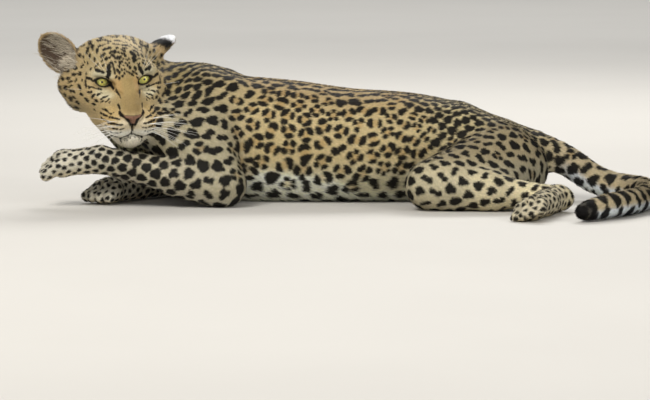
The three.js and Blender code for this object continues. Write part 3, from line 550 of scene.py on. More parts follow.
def smooth(V, quads, rounds):
    """Evens the mesh out a little, without shrinking it."""
    e = np.concatenate([quads[:, [0, 1]], quads[:, [1, 2]], quads[:, [2, 3]], quads[:, [3, 0]]])
    n = len(V)
    deg = np.bincount(e[:, 0], minlength=n) + np.bincount(e[:, 1], minlength=n)
    for amount in rounds:
        s = np.stack([np.bincount(e[:, 0], V[e[:, 1], k], n) + np.bincount(e[:, 1], V[e[:, 0], k], n) for k in range(3)], 1)
        V = V + amount * (s / deg[:, None] - V)
    return V


SKIN, QUADS = surface(field())
SKIN = smooth(SKIN, QUADS, (0.5, -0.52))
SKIN[:, 2] = np.maximum(SKIN[:, 2], 0.4)


def normals(V, quads):
    n = np.cross(V[quads[:, 2]] - V[quads[:, 0]], V[quads[:, 3]] - V[quads[:, 1]])
    out = np.stack([sum(np.bincount(quads[:, i], n[:, k], len(V)) for i in range(4)) for k in range(3)], 1)
    return out / (np.linalg.norm(out, axis=1)[:, None] + 1e-12)


NORMAL = normals(SKIN, QUADS)
if (np.einsum("ij,ij->i", NORMAL, SKIN - SKIN.mean(0)).mean()) < 0:
    QUADS = QUADS[:, ::-1]
    NORMAL = -NORMAL


# ---- What each skin vertex belongs to, and how its coat lies ----------------
NAMES = list(PARTS)


def nearness(P):
    out = np.full((len(NAMES), len(P)), FAR, np.float32)
    for i, name in enumerate(NAMES):
        for p in PARTS[name]:
            if p[0] in ("groove", "slit"):
                continue
            low, high = bounds(p)
            near = np.all((P > np.array(low) - 30) & (P < np.array(high) + 30), axis=1)
            if near.any():
                out[i, near] = combine(out[i, near], distance(p, P[near].astype(np.float32)), p)
    return out


D = nearness(SKIN)
WEIGHT = np.exp(-(D - D.min(0)) / 9.0)
WEIGHT /= WEIGHT.sum(0)
W = {name: WEIGHT[i] for i, name in enumerate(NAMES)}
W["ears"] = W["ear_left"] + W["ear_right"]
W["paws"] = W["forepaw_left"] + W["forepaw_right"]
W["feet"] = W["hind_foot_left"] + W["hind_foot_right"]
W["arms"] = W["upper_arm_left"] + W["upper_arm_right"]
W["forearms"] = W["forearm_left"] + W["forearm_right"]
W["thighs"] = W["thigh_left"] + W["thigh_right"]
W["shanks"] = W["shank_left"] + W["shank_right"]
W["tail"] = W["tail_root"] + W["tail_middle"] + W["tail_tip"]
OWNER = D.argmin(0)

AXIS = {"trunk": ([-352, 0, 108], [352, 0, 92]), "neck": ([-300, 0, 160], [-425, -10, 186]),
        "upper_arm_left": (SHOULDER_L, ELBOW_L), "upper_arm_right": (SHOULDER_R, ELBOW_R),
        "forearm_left": (ELBOW_L, WRIST_L), "forearm_right": (ELBOW_R, WRIST_R),
        "forepaw_left": (WRIST_L, KNUCKLES_L), "forepaw_right": (WRIST_R, KNUCKLES_R),
        "thigh_left": (HIP_L, KNEE_L), "thigh_right": (HIP_R, KNEE_R),
        "shank_left": (KNEE_L, HOCK_L), "shank_right": (KNEE_R, HOCK_R),
        "hind_foot_left": (HOCK_L, TOES_L), "hind_foot_right": (HOCK_R, TOES_R)}
EAR = {"ear_right": (inHead(-78, -76, 15), inHead(-131, -84, 75), headWay(-0.15, 1, -0.15), 90, 68),
       "ear_left": (inHead(70, -86, 25), inHead(119, -124, 56), headWay(0.7, -0.2, -0.7), 72, 64)}


def ear_frame(name):
    base, tip, mouth, length, width = EAR[name]
    up = unit(sub(tip, base))
    out = unit(sub(mouth, mul(up, dot(mouth, up))))
    return [np.array(v) for v in (base, cross(up, out), up, out)] + [length, width]


def in_cup(name, P, N):
    """1 on the inside of an ear's cup, 0 behind it."""
    base, wide, up, out, length, width = ear_frame(name)
    q = P - (base + up * (length * 0.46 + 3) + out * 14)
    k = np.sqrt((q @ wide / (width * 0.5 - 5)) ** 2 + (q @ up / (length * 0.54 - 6)) ** 2 + (q @ out / 20) ** 2)
    facing = -(N * q).sum(1) / (np.linalg.norm(q, axis=1) + 1e-6)
    return step01(1.24, 1.12, k) * step01(-0.05, 0.25, facing)


TAIL_LINE = np.array([curveAt(TAIL_PATH, i, j / 8) for i in range(0, 12) for j in range(0, 8)] + [TAIL_PATH[-1]], float)
TAIL_WAY = np.gradient(TAIL_LINE, axis=0)
TAIL_WAY /= np.linalg.norm(TAIL_WAY, axis=1)[:, None]
TAIL_ALONG = np.concatenate([[0], np.cumsum(np.linalg.norm(np.diff(TAIL_LINE, axis=0), axis=1))])


def on_tail(P):
    """The nearest place of the tail's middle line."""
    best, at = np.full(len(P), 1e9), np.zeros(len(P), int)
    for i, c in enumerate(TAIL_LINE):
        d = ((P - c) ** 2).sum(1)
        near = d < best
        best[near], at[near] = d[near], i
    return at


TAIL_AT = on_tail(SKIN)
HEAD = local(SKIN)


def normed(v):
    return v / (np.linalg.norm(v, axis=1)[:, None] + 1e-9)


def flow():
    """The lie of the hair: along the surface, from nose to tail and down each leg."""
    A = np.zeros_like(SKIN)
    l, f, u = HEAD
    for i, name in enumerate(NAMES):
        w = WEIGHT[i][:, None]
        if name == "head":
            out = np.stack([l / 55, -0.9 - 0.25 * step01(-20, -90, f), (u + 52) / 62], 1)
            out[:, 2] = np.where(u < -60, out[:, 2] - 0.5 * step01(-60, -110, u), out[:, 2])
            way = normed(out) @ np.stack([L_, F_, U_])
        elif name in ("trunk", "neck"):
            low = step01(0.75, 0.1, np.abs(NORMAL[:, 2])) * np.where(NORMAL[:, 2] > -0.4, 1, 0)
            way = np.stack([np.ones(len(SKIN)), np.zeros(len(SKIN)), -0.38 * low], 1)
            if name == "neck":
                way[:, 2] -= 0.35 * low
        elif name.startswith("ear"):
            base, wide, up, out, length, width = ear_frame(name)
            way = np.tile(up, (len(SKIN), 1)) + 0.35 * normed(SKIN - base)
        elif name.startswith("tail"):
            way = TAIL_WAY[TAIL_AT]
        else:
            a, b = AXIS[name]
            way = np.tile(unit(sub(b, a)), (len(SKIN), 1)).astype(float)
            if name.startswith("thigh"):
                way += np.array([0.55, 0, -0.35])
            if name.startswith("upper_arm"):
                way += np.array([0.25, 0, -0.1])
        A += w * normed(way)
    for _ in range(12):
        s = np.zeros_like(A)
        for k in range(3):
            for i, j in ((0, 1), (1, 2), (2, 3), (3, 0)):
                s[:, k] += np.bincount(QUADS[:, i], A[QUADS[:, j], k], len(A)) + np.bincount(QUADS[:, j], A[QUADS[:, i], k], len(A))
        A = normed(0.5 * A + 0.5 * normed(s))
        A = normed(A - (A * NORMAL).sum(1)[:, None] * NORMAL)
    return A


FLOW = flow()


# ---- The coat's ground colours ----------------------------------------------
def tone(r, g, b):
    """A colour as the eye names it, 0 to 255, to the linear one a renderer uses."""
    c = np.array([r, g, b], float) / 255
    return np.where(c <= 0.04045, c / 12.92, ((c + 0.055) / 1.055) ** 2.4)


def toned(base, colour, amount):
    return base + (tone(*colour) - base) * np.clip(amount, 0, 1)[:, None]


def lens(a, b, wide, high):
    """Distance to the pointed oval of a lid's opening, negative inside."""
    R = (wide**2 + high**2) / (2 * high)
    return np.maximum(np.hypot(a, b + R - high), np.hypot(a, b - R + high)) - R


def eye_plane(l, u, s):
    """Along the slanted line between an eye's corners, outwards, and up from it."""
    c, t = math.cos(EYE_SLANT), math.sin(EYE_SLANT)
    dl, du = s * l - (EYE_OUT + 0.5), u + 1
    return dl * c + du * t, -dl * t + du * c


def ground():
    x, y, z = SKIN.T
    nz = NORMAL[:, 2]
    n = len(SKIN)
    out, ears = np.zeros((n, 3)), []
    l, f, u = HEAD
    al = np.abs(l)
    for i, name in enumerate(NAMES):
        c = np.tile(tone(199, 168, 118), (n, 1))
        if name == "trunk":
            c = toned(c, (176, 141, 92), step01(0.35, 0.97, nz) * step01(110, 190, z + 0.12 * np.abs(x)))
            c = toned(c, (182, 152, 105), step01(-190, -280, x) * 0.8)
            c = toned(c, (178, 155, 112), step01(90, 190, x) * 0.8)
            c = toned(c, (210, 188, 148), step01(95, 45, z))
            c = toned(c, (250, 238, 212), step01(0, -22, z - 26 - 42 * step01(30, -60, x) * step01(-230, -190, x) - 5 * np.sin(x / 37)) * step01(0.5, 0.1, nz))
        elif name == "neck":
            c = toned(c, (178, 147, 99), np.ones(n))
            c = toned(c, (222, 208, 182), step01(0.1, -0.6, nz) * step01(190, 120, z))
        elif name == "head":
            c = toned(c, (190, 161, 112), np.ones(n))
            c = toned(c, (214, 198, 162), step01(-30, -78, u) * step01(-4, -50, f) * 0.7)
            c = toned(c, (166, 135, 77), step01(24, 12, al) * step01(-58, -30, u) * step01(34, 6, u) * step01(-30, 10, f))
            c = toned(c, (143, 113, 58), step01(22, 6, al) * step01(-54, -40, u) * step01(-8, -26, u) * step01(0, 40, f) * 0.9)
            c = toned(c, (194, 146, 82), 0.62 * step01(11, 2, np.hypot(al - 18, (u + 1) * 0.42)))
            c = toned(c, (224, 208, 172), step01(13, 4, np.hypot((al - 42) * 0.5, u - 14)) * step01(-60, -30, f))
            c = toned(c, (226, 210, 174), step01(12, 4, np.hypot((al - 42) * 0.55, u + 19)) * step01(-60, -30, f))
            c = toned(c, (204, 170, 112), step01(28, 12, np.hypot(al - 30, (u + 58))) * step01(20, 40, f))
            c = toned(c, (226, 210, 182), step01(24, 8, np.hypot(al - 16, (u + 72))) * step01(20, 40, f) * 0.8)
            c = toned(c, (232, 224, 206), step01(-74, -84, u) * step01(10, 40, f))
            c = toned(c, (228, 216, 192), step01(-90, -97, u) * step01(-40, 0, f))
        elif name.startswith("ear"):
            base, wide, up, mouth, length, width = ear_frame(name)
            q = SKIN - base
            a, b = q @ wide, q @ up
            cup = in_cup(name, SKIN, NORMAL)
            c = toned(c, (166, 143, 104), np.ones(n))
            edge = np.hypot(a / (width * 0.5), (b / length - 0.46) / 0.54)
            back = step01(-0.1, -0.45, NORMAL @ mouth)
            if name == "ear_left":
                back = np.maximum(back, step01(0.4, 0.1, cup) * step01(0.45, 0.3, NORMAL @ mouth))
            c = toned(c, (10, 8, 7), back * step01(0.18, 0.28, b / length) * step01(0.62, 0.54, b / length))
            c = toned(c, (226, 227, 230), back * step01(0.53, 0.60, b / length))
            # the cup's inside darkened: the skin's own darker tone, with painted shade in the cup's depth
            c = toned(c, (74, 60, 48), cup * step01(0.94, 0.78, edge))
        elif name.startswith("tail"):
            c = toned(c, (184, 156, 108), np.ones(n))
            c = toned(c, (230, 224, 208), step01(0.15, -0.45, nz) * step01(60, 140, TAIL_ALONG[TAIL_AT]))
            c = toned(c, (34, 29, 24), step01(0.965, 0.985, TAIL_ALONG[TAIL_AT] / TAIL_ALONG[-1]))
        elif name.startswith("upper_arm"):
            c = toned(c, (201, 178, 136), np.ones(n))
        elif name.startswith("forearm"):
            c = toned(c, (206, 188, 150), np.ones(n))
        elif name.startswith("forepaw"):
            c = toned(c, (212, 203, 182), np.ones(n))
        elif name.startswith("thigh"):
            c = toned(c, (196, 172, 128), np.ones(n))
            c = toned(c, (208, 194, 160), step01(110, 50, z))
        elif name.startswith("shank"):
            c = toned(c, (210, 196, 164), np.ones(n))
        elif name.startswith("hind_foot"):
            c = toned(c, (212, 200, 174), np.ones(n))
        if not name.startswith(("ear", "head", "tail", "neck")):
            c = toned(c, (228, 210, 174), step01(-0.3, -0.8, nz) * (0.55 if name == "trunk" else 0.8))
        if name == "trunk":
            fore, rump = step01(-150, -250, x)[:, None], step01(90, 190, x)[:, None]
            c = c * (np.array([1.03, 1.19, 1.30]) + fore * np.array([-0.18, -0.18, -0.10]) + rump * np.array([0.16, 0.18, 0.2]))
        elif name == "head":
            brow = (step01(0, 22, u) * step01(-80, -60, f))[:, None]
            pad = step01(-52, -66, u)[:, None]
            chin = (step01(-76, -84, u) * step01(10, 40, f))[:, None]
            c = c * (np.array([0.78, 0.82, 0.81]) + brow * np.array([-0.04, 0.0, 0.06]) + pad * np.array([0.14, 0.14, 0.14]) + chin * np.array([0.07, 0.09, 0.17]))
        else:
            # per-part colour factors: the shank's raise is partly painted light against its shade near the floor, and
            # the thigh's cut is partly painted shade on its upward-facing top
            for start, times in (("neck", (0.61, 0.71, 0.58)), ("upper_arm", (0.74, 0.87, 1.03)), ("forearm", (0.76, 0.84, 0.98)),
                                 ("forepaw", (0.98, 1.02, 1.06)), ("thigh", (0.63, 0.68, 0.74)), ("shank", (1.34, 1.36, 1.28)),
                                 ("hind_foot", (1.1, 1.12, 1.08)), ("tail", (1.1, 1.3, 1.75))):
                if name.startswith(start):
                    c = c * np.array(times)
        if name.startswith("ear"):
            ears.append((step01(0.28, 0.48, W[name])[:, None], c))
        out += WEIGHT[i][:, None] * c
    for share, c in ears:
        out = out + (c - out) * share
    return np.clip(out, 0, 0.93)


GROUND = ground()


# ---- The coat's length, width and lift --------------------------------------
def hair():
    """Millimetres of length, and how steeply a tuft stands, 0 to 1."""
    x, y, z = SKIN.T
    l, f, u = HEAD
    n = len(SKIN)
    per = {"trunk": 7.8, "neck": 9, "tail_root": 8.5, "tail_middle": 9.5, "tail_tip": 10.5,
           "ear_left": 6, "ear_right": 6}
    per.update({k: v for s in ("left", "right") for k, v in
                (("upper_arm_" + s, 7.2), ("forearm_" + s, 6.2), ("forepaw_" + s, 4.6), ("thigh_" + s, 7.5), ("shank_" + s, 6.8), ("hind_foot_" + s, 4.6))})
    long = np.zeros(n)
    for i, name in enumerate(NAMES):
        if name == "head":
            v = 2.6 + 3.4 * step01(70, 10, f) + 3.0 * step01(0, -70, f) + 5.5 * step01(-20, -85, f) * step01(10, -50, u)
            v += 4 * step01(-92, -112, u) * step01(-10, 20, f)
            v = v - (v - 2.4) * step01(34, 22, np.hypot(np.abs(l) - EYE_OUT, u)) * step01(-60, -30, f)
        elif name == "trunk":
            v = per[name] + 7.0 * step01(60, 25, z) * step01(0.4, -0.2, NORMAL[:, 2])
        else:
            v = per[name]
        long += WEIGHT[i] * v
    return long


LONG = hair()
DENSE = np.interp(LONG, [2.4, 5, 8, 14], [0.52, 0.34, 0.21, 0.15]) * 1  # tufts to the square millimetre


# ---- Spots and rosettes: how large, how close and of what kind, by place ----
def pattern():
    """Spacing in mm, chance of a rosette, elongation, its angle from the lie, and size against spacing."""
    x, y, z = SKIN.T
    nz = NORMAL[:, 2]
    l, f, u = HEAD
    n = len(SKIN)
    top = through(x, np.array([t[0] for t in TRUNK], float), np.array([t[1] for t in TRUNK], float))
    h = np.clip(z / np.maximum(top, 60), 0, 1)
    total = np.zeros((5, n))
    for i, name in enumerate(NAMES):
        if name == "trunk":
            s = np.interp(h, [0.15, 0.3, 0.55, 0.78, 0.92, 1.0], [34, 36, 32, 29.5, 26, 21])
            s = s * (1 - 0.42 * step01(-205, -300, x)) * (1 - 0.34 * step01(60, 170, x) * step01(0.1, 0.4, h)) * (1 - 0.10 * step01(0, 60, x))
            rose = 0.95 * step01(0.97, 0.80, h) * step01(-255, -205, x) * (1 - 0.45 * step01(90, 200, x)) + 0.12
            rose = rose * step01(0.12, 0.26, h)
            longer = 1.12 + 0.35 * step01(0.85, 0.97, h) + 0.85 * step01(-205, -260, x) * step01(0.97, 0.85, h)
            turn = 75 * step01(-190, -250, x) * step01(0.97, 0.85, h) + 60 * step01(0.9, 0.7, h) * step01(-190, -150, x)
            size = 0.555
        elif name == "neck":
            s = 17.0 + 5.0 * step01(-350, -300, x)
            rose, longer, turn, size = 0.0, 1.65, 74.0, 0.53
        elif name == "head":
            s = 12.2 - 2.4 * step01(22, 4, np.abs(l)) * step01(-8, 20, u) * step01(-50, -20, f) + 2.2 * step01(0, -50, u) + 2.5 * step01(-50, -90, f)
            rose, longer, turn, size = 0.0, 1.4 - 0.2 * step01(0, -30, u), 8.0, 0.43
        elif name.startswith("ear"):
            s, rose, longer, turn, size = 11.0, 0.0, 1.2, 0.0, 0.34
        elif name.startswith("upper_arm"):
            s, rose, longer, turn, size = 28.5 + 0 * x, 0.22, 1.15, 40.0, 0.57
        elif name.startswith("forearm"):
            a, b = AXIS[name]
            t = np.clip((SKIN - np.array(a)) @ np.array(unit(sub(b, a))) / math.dist(a, b), 0, 1)
            s, rose, longer, turn, size = 28 - 11.5 * t, 0.12 * (1 - t), 1.12, 30.0, 0.54
        elif name.startswith("forepaw"):
            s, rose, longer, turn, size = 12.5, 0.0, 1.2, 0.0, 0.36
        elif name.startswith("thigh"):
            s = 25 + 3.5 * step01(120, 60, z)
            rose, longer, turn, size = 0.5 * step01(70, 130, z), 1.15, 50.0, 0.51
        elif name.startswith("shank"):
            s, rose, longer, turn, size = 23 + 0 * x, 0.0, 1.2, 35.0, 0.43
        elif name.startswith("hind_foot"):
            s, rose, longer, turn, size = 13.0, 0.0, 1.2, 10.0, 0.37
        else:
            at = TAIL_ALONG[TAIL_AT] / TAIL_ALONG[-1]
            s = 24 + 5 * step01(0.05, 0.3, at)
            rose, longer, turn, size = 0.5 * step01(0.4, 0.2, at), 1.15, 60 + 25 * step01(0.5, 0.8, at), 0.56
        for k, v in enumerate((s, rose, longer, turn, size)):
            total[k] += WEIGHT[i] * v
    return total


SPACE, ROSE, LONGER, TURN, SIZE = pattern()


# Both ends of each mark of the face (out from the middle, forward, up) and half its width: first those of both sides
MARKS_OF_A_SIDE = (
    (51.1, -0.9, 23.7, 46.4, 4.6, 21.7, 2), (44, 6.5, 21.5, 38.6, 10.3, 19.7, 1.7), (51.8, -5.8, 26.9, 46.1, -5.4, 33.1, 1.4),
    (59.1, -9.6, 22.5, 57.7, -13, 25, 1.4), (66, -15.5, 16, 66.5, -13.8, 14.2, 1.4), (73.2, -46.8, 12.5, 72.8, -39.4, 9.6, 2.2),
    (69, -53.3, 20.4, 65.3, -52.5, 24.4, 1.6), (58, -43.9, 30.3, 58.2, -41.5, 28.6, 1.4), (48.3, -26, 41.1, 48.9, -18.9, 36.9, 2),
    (53.3, -47, 44.7, 53.2, -41.3, 40.2, 1.6), (63.1, -57, 42.7, 63.1, -55.4, 39, 1.4), (62.7, -52.9, 32.8, 62.3, -51.7, 30.8, 1.1),
    (52.5, -58.1, 56.3, 57.2, -53.7, 46.8, 2.2), (45.8, -57.1, 60.4, 46.4, -49.2, 54.7, 2.3), (39.8, -41.1, 55.6, 41.3, -30.6, 50.8, 2.3),
    (83.2, -36.6, -1.5, 80.5, -37, 1.9, 2), (94.7, -45.6, -5.1, 89.6, -43, -2.1, 1.6), (73.5, -22.6, 3.3, 73.8, -18.3, 0.5, 1),
    (94.7, -43.1, -12.6, 89.9, -38.9, -9, 1.4), (80, -24.3, -7.3, 78.1, -14.6, -12.7, 2.2), (93, -39.9, -19.1, 91.3, -37.5, -19.5, 1.4),
    (89, -34, -19.1, 86.7, -29.6, -20.7, 1.6), (79.9, -14.3, -21.9, 75.7, -6.2, -23, 1.5), (89.3, -34.7, -30, 85.8, -28.5, -31.7, 1.6),
    (72.8, -1.5, -29.2, 68.1, 5.2, -32.9, 2), (67.8, 2.8, -16.2, 62.8, 8.3, -17.1, 1.3), (62.1, 12.5, -24.3, 58.7, 14.1, -20.7, 2),
    (53.1, 18.5, -20.9, 49, 14.5, -18.8, 2), (57.8, 19.2, -30, 53.8, 24.1, -31.6, 1.6), (62, 13.9, -36.3, 58.1, 19.3, -37.8, 1.4),
    (48.8, 26.8, -27, 42.5, 28.4, -23, 1.1), (48.8, 28.6, -32.6, 45.6, 30.2, -30, 1.1), (42.1, 29.6, -24.2, 35.6, 30.1, -20.6, 0.9),
    (37.8, 34.2, -29.1, 34.9, 34.6, -26, 0.9), (41.6, 33.2, -31.7, 38.8, 33.9, -29.5, 0.8), (35.4, 38, -33.1, 33.9, 37.9, -30.6, 0.7),
    (43.9, 38.1, -44.9, 41.2, 43.5, -46.3, 1.6), (40.1, 48.1, -48.1, 37.8, 52.9, -49.2, 1.3), (59.4, 15, -47, 57.7, 17.2, -48.6, 1.3),
    (47.5, 32.2, -44.2, 46, 35, -45.3, 0.9), (22.3, 54.7, -35, 20.2, 61.3, -40.4, 1.8), (32.8, 55, -47.4, 31.7, 56.7, -47.9, 0.7),
    (57.1, -1, 3.1, 62, -2.8, 7.2, 1.3), (60.4, -2, 7.2, 65.9, -6.9, 8.2, 1.6), (65.9, -6.9, 8.2, 67.5, -9.7, 8.2, 1.8),
    (69.2, -10.1, 3.6, 69.9, -7.5, -1.7, 1.4), (69.9, -7.5, -1.7, 69.6, -2.9, -9, 1.4), (66.2, -0.4, -6.5, 65.2, 1.7, -9.4, 1.3),
    (61.7, 2.2, -7.4, 59.6, 2.6, -8.2, 1.2), (57.5, 2.8, -8.6, 55.4, 2.9, -9.5, 1.2), (53.1, 2.2, -9.7, 51.1, 2.5, -10.9, 1.2),
    (48.8, 1.9, -11.1, 46.6, 1.7, -12, 1.1), (44.4, 1.3, -12.2, 42.4, 1.8, -13, 0.9), (62.7, 6.3, -14.2, 61.3, 8.2, -15.8, 0.9),
    (45.3, 8.9, -17.6, 43.7, 11.6, -18.5, 0.7), (27, 2.5, -0.2, 24.5, 3.7, -4.8, 2.2), (24, 35, -10, 24.5, 35.3, -10.9, 1.1),
    (50.8, 29, -51.5, 49.2, 33.7, -53.5, 1.3), (47.9, 37.8, -52.9, 46.3, 44.2, -54.1, 1.4), (44.4, 49.1, -54.1, 42.3, 54.7, -55.1, 1.6),
    (37.8, 62.5, -55.5, 34.4, 67, -56.4, 1.4), (32.6, 68.7, -56.6, 25.2, 74.1, -58.6, 1.2), (50.7, 31.2, -59.6, 49.3, 41.7, -61.8, 0.9),
    (48.6, 45.4, -62.3, 46.1, 55.2, -64, 1.3), (44.8, 58.5, -64.6, 42.3, 64, -65.3, 1.6), (40.7, 66.6, -65.3, 38.2, 70.2, -65.9, 1.4),
    (36.4, 72, -65.7, 32.8, 75, -66.5, 1.4), (30.8, 76.1, -66.8, 27.9, 77.4, -67.5, 1.3), (25.9, 77.9, -67.5, 19.9, 78.5, -67.8, 0.9),
    (48.2, 47.2, -72.1, 46.1, 54.6, -72.7, 0.9), (42.4, 63, -73.3, 40.8, 65.7, -73.7, 1.1), (37.1, 70.3, -74.5, 34.1, 72.9, -75, 1.3),
    (31.2, 74.6, -75.6, 28.6, 75.7, -75.9, 1.1), (24.7, 76.2, -76.5, 22, 76.9, -76.2, 0.9), (19.4, 76.6, -75.7, 17.6, 76.6, -75.1, 0.7),
    (42.1, 55, -80.4, 41, 56.6, -80.9, 0.8), (38.1, 61.8, -81.6, 36.3, 63.5, -82.2, 1), (33, 66.5, -82.6, 31.1, 67.7, -82.9, 0.8),
    (28.2, 69.1, -83.2, 26.5, 69.3, -83.6, 0.7), (23.3, 71.5, -82.4, 22.3, 72, -82, 0.6), (22.8, 54.4, -95.8, 20, 56.2, -97, 1.3),
    (15.2, 60, -93.5, 14.3, 60.3, -96, 0.9), (19.3, 54, -102.8, 18.4, 54.2, -104.3, 1.3), (14, 60.1, -99.6, 13.3, 60.1, -100.7, 0.6),
    (21.7, 64.2, -46.2, 20.9, 68.4, -49.5, 2.2), (20.9, 68.4, -49.5, 17.2, 73.7, -52.4, 2),
)
# and those of the forehead and chin, each in its own place
MARKS_OF_THE_MIDDLE = (
    (-11.3, 61.6, -95.6, -11.1, 61.9, -97.7, 0.7), (-7.4, 62.3, -92.5, -7.9, 62.6, -94.6, 0.9), (-8.8, 62.7, -98.8, -9.4, 62.2, -100.6, 0.7),
    (-3.8, 63.6, -94.3, -4.3, 63.9, -97.8, 0.6), (5.7, 63, -93.6, 6.3, 63.3, -95.4, 0.8),
    (-31, -24.5, 56.8, -26.3, -18.4, 57.7, 2.6), (-37.8, -9.8, 46.1, -33.9, -10.7, 49.6, 2.7),
    (-32, -0.5, 44, -31.4, 3, 41.3, 1.9), (-25.9, 2.7, 45.4, -25.1, 3.2, 45.4, 1.7), (-39.3, -3.1, 39.2, -38.2, -1.9, 39.3, 1.7),
    (-23, -3.9, 52.4, -20.5, -5.8, 54.5, 1.8), (-14.1, -5.1, 56.3, -15, -0.7, 53.2, 2.1), (-9.5, -0.2, 54.2, -7.7, 2.5, 52.4, 1.2),
    (-21.4, -20.8, 60.4, -19.7, -14.6, 59.1, 1.9), (-20.8, 0.7, 49.9, -17, 5.7, 47.2, 1.6), (-11.1, 8.4, 46.3, -8.8, 11.1, 43.6, 1.7),
    (-5.9, 8.2, 47.8, -4.9, 10, 45.7, 1.1), (-16.4, 9.3, 43.4, -13.8, 9.5, 44.1, 1.3), (-17.1, 13.4, 37.8, -16.7, 13.7, 37.6, 1.8),
    (-10.3, 14.4, 38.7, -8.7, 17.9, 33.8, 1.3), (-5.9, 15.2, 38.7, -5, 16.1, 37.5, 1.2), (-12, 18.5, 31.1, -10.9, 19.7, 29, 1.5),
    (-3.7, 19.6, 31.8, -3.2, 19.8, 31.3, 1.3), (0.6, 17.5, 35.9, 2.3, 18.1, 34.8, 1.4), (3.8, 19, 33, 4.6, 19.9, 30.9, 1.6),
    (8.2, 20.2, 29.3, 8.1, 21.4, 26.2, 1.8), (8.1, 16.8, 35.6, 8.4, 16.9, 35.4, 1.3), (8.4, 12.2, 42.4, 9.9, 12.8, 41.4, 1.1),
    (-2.7, 12.7, 42.6, 5.3, 13.8, 40.9, 0.7), (-3, 3.3, 52.5, 1.2, 5.5, 50.5, 1.8), (1.5, 8.6, 47.4, 4.5, 8.6, 47.3, 1.2),
    (-1.5, -3.2, 57, 3.8, -0.5, 55.3, 1.8), (2.1, -8.1, 59.8, 8.8, -7.8, 58.8, 1.6), (4.9, -17.9, 63.2, 15, -16.2, 61, 1.8),
    (8.4, -31.6, 66.1, 15.3, -32.3, 64.7, 1.3), (-7.8, -22.8, 64.2, -2, -21.7, 64.4, 1.6), (-4.4, -44.7, 68.4, 4, -38.4, 67.4, 2.3),
    (-8.6, -11.3, 60.4, -7.7, -8.5, 59.3, 1.8), (15.9, 0.4, 52.1, 21.3, 4.9, 46, 2.9), (20.5, -6.5, 54.9, 28, -4.5, 50, 1.6),
    (28, -4, 49.7, 28.9, 1, 45, 1.2), (16.8, 9.7, 42.6, 21, 11.4, 38.7, 2.3), (15.7, 13.8, 37.7, 18.3, 15, 34.7, 1.4),
    (24.4, -18.8, 58.5, 28.8, -14.7, 54.8, 2), (19.9, -28.4, 62.6, 21.8, -23.7, 60.9, 1.3), (37, -33.5, 55, 39.7, -32.6, 52.7, 1.6),
    (37.4, -20.3, 51, 39.6, -17, 47.9, 1.6), (35.3, -6.1, 45.6, 37.9, -3.7, 41.1, 1.6), (44.6, -15.4, 41.6, 45.3, -12.6, 38.7, 1.9),
    (26.2, 7.4, 40.6, 31.7, 4.3, 39.9, 0.8), (36.1, 2.7, 37.3, 40.1, 0.7, 35.1, 1.4), (34.4, 8, 33.6, 39.9, 6.6, 29, 1.7),
    (27.8, 13, 33.2, 28.2, 12.9, 32.9, 1.3), (24.3, 15.3, 31.5, 26.3, 16.5, 27.7, 1.6), (26.9, 16.8, 26.6, 29.4, 17.2, 21.1, 2.9),
    (29.4, 17.2, 21.1, 31.7, 12.6, 14.7, 2.9), (17.5, 19, 27.3, 19.3, 20, 22.7, 1.9), (12.7, 22.6, 21.1, 14.9, 23, 18.2, 1.5),
    (18.5, 22, 16.9, 20.5, 21.7, 14.4, 1.5), (10.1, 25.2, 16.5, 12.9, 25.8, 13.1, 1.8), (5.9, 25.2, 18.7, 6.8, 25.9, 16.7, 1.5),
    (2, 24.3, 21.5, 3.3, 25, 20.1, 1.1), (-3.3, 25.5, 18.9, -3.2, 26.4, 17.2, 1.2), (-7.9, 22.3, 24.5, -7.4, 22.7, 23.7, 1.4),
    (-2.7, 22.6, 25.4, -1.2, 23.3, 23.7, 1.2), (-15.1, 20.3, 25.6, -14.7, 21.5, 22.4, 1.8), (-12, 22.7, 21.2, -12, 23.9, 18.3, 1.6),
    (-7.6, 27.1, 14, -7, 28, 12.6, 1.8), (-17.4, 23.9, 12.8, -18.6, 24, 10.2, 1.6), (-13.2, 27, 10.5, -13.8, 28.1, 8, 1.8),
    (-29.3, 12.7, 32.3, -30.7, 15.4, 25.4, 3.2), (-30.7, 15.4, 25.4, -29.9, 16.7, 18.5, 3.2), (-29.9, 16.7, 18.5, -29.6, 9.4, 10.6, 3.2),
    (-25.1, 10.6, 37.7, -23.7, 12.4, 36.2, 2.2), (-23.2, 13, 35.5, -21.6, 17.2, 29.7, 1.3), (-21.6, 17.2, 29.7, -20.4, 19.5, 23.5, 1.3),
    (-20.4, 19.5, 23.5, -19.6, 21.3, 17.6, 1.3), (18.9, 23.8, 7.7, 19.4, 22.7, 7.3, 1.6), (-25.6, -43, 63.4, -25.4, -42, 63.3, 1.6),
    (-34.6, -45.3, 60.1, -31.3, -41.6, 60.6, 2.1), (-18.2, -51.1, 67.3, -14.5, -44.5, 66.9, 1.7), (-22.8, -60.7, 68.6, -20.9, -57.1, 68.2, 1.9),
    (-19.2, -39.5, 64.8, -18.9, -38.4, 64.7, 1.8), (-12.5, -28.4, 64.7, -10.1, -26.8, 64.8, 1.3), (-33.2, -65, 67.5, -29.8, -58.6, 66.5, 1.8),
    (-30, -64, 68, -23.7, -69.7, 70.2, 1.6), (-6, -66, 72, 4.4, -64.2, 71.6, 1.7), (17.9, -58.8, 69, 22.3, -51.8, 66.4, 1.2),
    (-36.3, 5.9, 33.8, -39.7, 5.3, 31, 1.6), (44.9, 5.8, 21, 46.6, 4.5, 18.5, 1.6),
)


def all_marks():
    out = [(inHead(a, b, c), inHead(d, e, f), (1.25 * half + 0.3) * (1.32 if c > 38 else 1.08)) for a, b, c, d, e, f, half in MARKS_OF_THE_MIDDLE]
    for s in (-1, 1):
        out += [(inHead(s * a, b, c), inHead(s * d, e, f), 1.5 * half + 0.35) for a, b, c, d, e, f, half in MARKS_OF_A_SIDE]
    return [(np.array(a), np.array(b), half) for a, b, half in out]


ALL_MARKS = all_marks()


